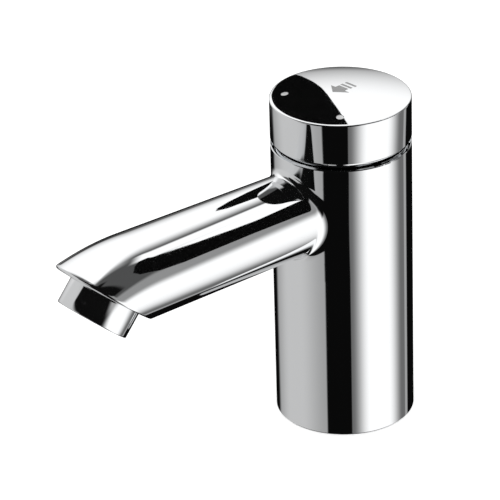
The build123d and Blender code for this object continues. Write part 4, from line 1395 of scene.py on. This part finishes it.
@dataclass
class Studio:
    """A pale room with grey and black panels, two black flags, soft lamps and the photograph's camera."""

    azimuth: float = 52.355
    elevation: float = 27.29
    roll: float = -1.714
    distance: float = 1189.87 * MM
    aim: tuple[float, float, float] = (0.0, 0.0, 60.0 * MM)
    shift_right: float = -31.824 * MM
    shift_up: float = -0.436 * MM
    focal_length: float = 249.65
    sensor: float = 36.0
    white_level: float = 1.0
    soft_level: float = 0.8
    dark_level: float = 0.003
    first_behind: float = -90.0
    floor_size: float = 6.0
    floor_gap: float = 0.1 * MM
    floor_glow: float = 0.42
    paper_grain: float = 2 * MM
    paper_shades: Span = (0.80, 0.82)
    paper_roughness: float = 0.95
    cloth_grain: float = 0.8 * MM
    cloth_shades: Span = (0.002, 0.004)
    lamps: tuple[Lamp, ...] = (
        Lamp("key", (0.9, -0.7, 1.3), 9.0, 0.9),
        Lamp("fill", (-1.1, -0.4, 0.9), 4.0, 1.2),
    )
    panels: tuple[Panel, ...] = (
        Panel(0.36, (-142, -32), (6, 1.5)),
        Panel(0.56, (-125, -55), (20, 25)),
        Panel(0.15, (9.5, 127.5), (1, 1.5)),
        Panel(1.10, (27, 93), (16, 17)),
        Panel(0.37, (119.5, 127.5), (1.5, 1.5)),
        Panel(0.60, (-165, -86), (8, 4), (-16, 34), (10, 4)),
        Panel(0.09, (-140, -85), (8, 4), (42, 80), (3, 4)),
        Panel(0.003, (-68, 33), (8, 10), (-12, 8), (3, 4)),
        Panel(0.004, (-50, 33), (4, 10), (0, 90), (5, 1)),
        Panel(0.004, (-87, -40), (3, 3), (31, 90), (2, 1)),
        Panel(0.05, (-84, -52), (2, 2), (39, 60), (1.5, 2)),
        Panel(0.22, (-50.5, -42.5), (1.5, 1.5), (39, 60), (1.5, 2)),
        Panel(0.29, (33, 100), (8, 8), (4, 60), (8, 2)),
        Panel(0.08, (56, 146), (4, 8), (29, 90), (4, 1)),
        Panel(0.004, (-87, 64.5), (3, 1.5), (37, 90), (3, 1)),
        Panel(0.004, (60, 77), (2, 3), (76.5, 83), (2, 2)),
        Panel(0.30, (117, 240), (12, 12), (70, 90), (5, 1)),
        Panel(1.10, (86, 125.5), (4, 2.5), (38, 54), (5, 2)),
        Panel(1.10, (102, 125.5), (5, 3.5), (52, 65), (2, 4)),
        Panel(1.10, (143, 224), (17, 10), (10, 90), (20, 2)),
        Panel(0.10, (168, 190), (4, 4), (2, 6), (3, 3)),
        Panel(0.004, (187, 200), (4, 3), (-5, 5), (5, 5)),
        Panel(0.22, height=(87, 92), height_soft=(4, 1)),
    )
    flags: tuple[Flag, ...] = (
        Flag(
            "flag_behind",
            (-47.5, 36.6),
            (-0.6108, -0.7918),
            (
                (19.5, 120),
                (14.5, 127),
                (10, 136),
                (7, 144),
                (4.7, 153),
                (2, 165),
                (-1, 177),
                (-8, 206),
                (10, 208),
                (23, 195),
                (31, 177),
                (34, 158),
                (32, 141),
                (26, 127),
            ),
        ),
        Flag(
            "flag_beside",
            (200.0, 0.0),
            (0.0, 1.0),
            (
                (128, 148),
                (118, 163),
                (100, 180),
                (68, 194),
                (60, 240),
                (44, 300),
                (60, 420),
                (150, 640),
                (290, 890),
                (385, 900),
                (318, 700),
                (270, 605),
                (218, 490),
                (188, 400),
                (181, 358),
                (216, 378),
                (300, 400),
                (300, 148),
            ),
        ),
    )

    def build_world(self) -> None:
        """White for the camera, a plain soft level for matt surfaces, and the panels for mirrors."""
        room = RoomSheet("studio")
        heading, height = room.directions(self.azimuth - 90.0)
        behind = room.behind(heading, self.first_behind)
        level = self.dark_level
        for panel in self.panels:
            side = behind if panel.heading[1] > 180.0 else heading
            across = room.band(side, panel.heading, panel.heading_soft)
            upright = room.band(height, panel.height, panel.height_soft)
            level = room.mix(room.sum("MULTIPLY", across, upright), level, panel.level)
        rays = add_node(room.tree, "ShaderNodeLightPath").outputs
        mirror = room.sum("MAXIMUM", rays["Is Glossy Ray"], rays["Is Transmission Ray"])
        plain = room.mix(rays["Is Camera Ray"], self.soft_level, self.white_level)
        chosen = room.mix(mirror, plain, level)
        light = add_node(room.tree, "ShaderNodeBackground", Color=WHITE, Strength=chosen)
        add_node(room.tree, "ShaderNodeOutputWorld", Surface=light.outputs[0])

    def build_floor(self) -> bpy.types.Object:
        """A plain pale floor that keeps the tap's soft shadow and stays out of its reflections.

        Returns:
            The floor.
        """
        deselect_all()
        bpy.ops.mesh.primitive_plane_add(size=self.floor_size, location=(0, 0, -self.floor_gap))
        floor = bpy.context.object
        floor.name = "studio_floor"
        floor.visible_glossy = False
        sheet = MaterialSheet("pale_studio_paper")
        paper = sheet.grey(sheet.spread(sheet.noise(self.paper_grain), *self.paper_shades))
        seen = add_node(sheet.tree, "ShaderNodeLightPath").outputs["Is Camera Ray"]
        product = {"operation": "MULTIPLY"}
        glow = add_node(sheet.tree, "ShaderNodeMath", product, s0=seen, s1=self.floor_glow)
        sheet.set(Base_Color=paper, Roughness=self.paper_roughness, Specular_IOR_Level=0.0)
        sheet.set(Emission_Color=WHITE, Emission_Strength=glow.outputs[0])
        floor.data.materials.append(sheet.material)
        return floor

    def build_flags(self) -> list[bpy.types.Object]:
        """Black flags beside the tap, which only its mirrors see and which shade nothing.

        Returns:
            The flags.
        """
        sheet = MaterialSheet("black_flag_cloth")
        weave = sheet.grey(sheet.spread(sheet.noise(self.cloth_grain), *self.cloth_shades))
        sheet.set(Base_Color=weave, Roughness=1.0, Specular_IOR_Level=0.0)
        cloths = []
        for flag in self.flags:
            deselect_all()
            bpy.ops.mesh.primitive_circle_add(vertices=len(flag.edge), radius=MM, fill_type="NGON")
            cloth = bpy.context.object
            cloth.name = flag.name
            for vertex, (aside, level) in zip(cloth.data.vertices, flag.edge):
                x, y = (stand + aside * way for stand, way in zip(flag.stand, flag.way))
                vertex.co = Vector((x, y, level)) * MM
            self.keep_for_mirrors(cloth)
            cloth.data.materials.append(sheet.material)
            cloths.append(cloth)
        return cloths

    def keep_for_mirrors(self, cloth: bpy.types.Object) -> None:
        """Lets only mirrors see a flag, so that it shades nothing.

        Args:
            cloth: The flag.
        """
        cloth.visible_camera = False
        cloth.visible_diffuse = False
        cloth.visible_shadow = False
        cloth.visible_transmission = False

    def build_lamps(self) -> None:
        """Two large soft lamps that give the matt pieces their shape."""
        for kind in self.lamps:
            data = bpy.data.lights.new(kind.name, "AREA")
            data.energy = kind.power
            data.size = kind.size
            lamp = bpy.data.objects.new(kind.name, data)
            lamp.location = kind.place
            lamp.rotation_euler = (-Vector(kind.place)).to_track_quat("-Z", "Y").to_euler()
            lamp.visible_glossy = False
            lamp.visible_camera = False
            bpy.context.scene.collection.objects.link(lamp)

    def build_camera(self) -> bpy.types.Object:
        """The camera at the photograph's viewing angle.

        Returns:
            The camera.
        """
        turn, rise, roll = (math.radians(a) for a in (self.azimuth, self.elevation, self.roll))
        back = Vector((math.sin(turn) * math.cos(rise), -math.cos(turn) * math.cos(rise), math.sin(rise)))
        right = Vector((math.cos(turn), math.sin(turn), 0))
        up = back.cross(right)
        rolled_right = right * math.cos(roll) + up * math.sin(roll)
        rolled_up = up * math.cos(roll) - right * math.sin(roll)
        place = Vector(self.aim) + rolled_right * self.shift_right + rolled_up * self.shift_up
        place += back * self.distance
        axes = Matrix((rolled_right, rolled_up, back)).transposed()
        data = bpy.data.cameras.new("photograph_view")
        data.lens = self.focal_length
        data.sensor_width = self.sensor
        camera = bpy.data.objects.new("photograph_view", data)
        camera.matrix_world = Matrix.Translation(place) @ axes.to_4x4()
        bpy.context.scene.collection.objects.link(camera)
        bpy.context.scene.camera = camera
        return camera

    def build(self) -> None:
        """Sets up the whole studio."""
        self.build_world()
        self.build_floor()
        self.build_flags()
        self.build_lamps()
        self.build_camera()
        bpy.context.scene.view_settings.view_transform = "Standard"


def corners(box: Iterable) -> list[list[float]]:
    """A box's two corners as plain lists of numbers."""
    return [[float(value) for value in corner] for corner in box]


def main() -> None:
    """Loads the frame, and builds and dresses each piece."""
    logging.basicConfig(level=logging.INFO, format="%(name)s: %(message)s")
    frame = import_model()
    wardrobe = Wardrobe()
    wardrobe.dress_nodes(frame)
    body = BodyCasting(wardrobe)
    cap = PushCapShell(wardrobe)
    marks = TemperatureMarks(wardrobe, cap)
    steps: list[tuple[str, Callable[[], object]]] = [
        ("body", body.build),
        ("cap", cap.build),
        ("dots", marks.build_dots),
        ("arrow", marks.build_arrow),
        ("aerator collar", AeratorEnd(wardrobe, body).build),
        ("smooth copies", lambda: BoughtParts(wardrobe).build(frame)),
        ("studio", Studio().build),
    ]
    for name, build in steps:
        build()
        log.info("built %s", name)
    deselect_all()


if __name__ == "__main__":
    main()
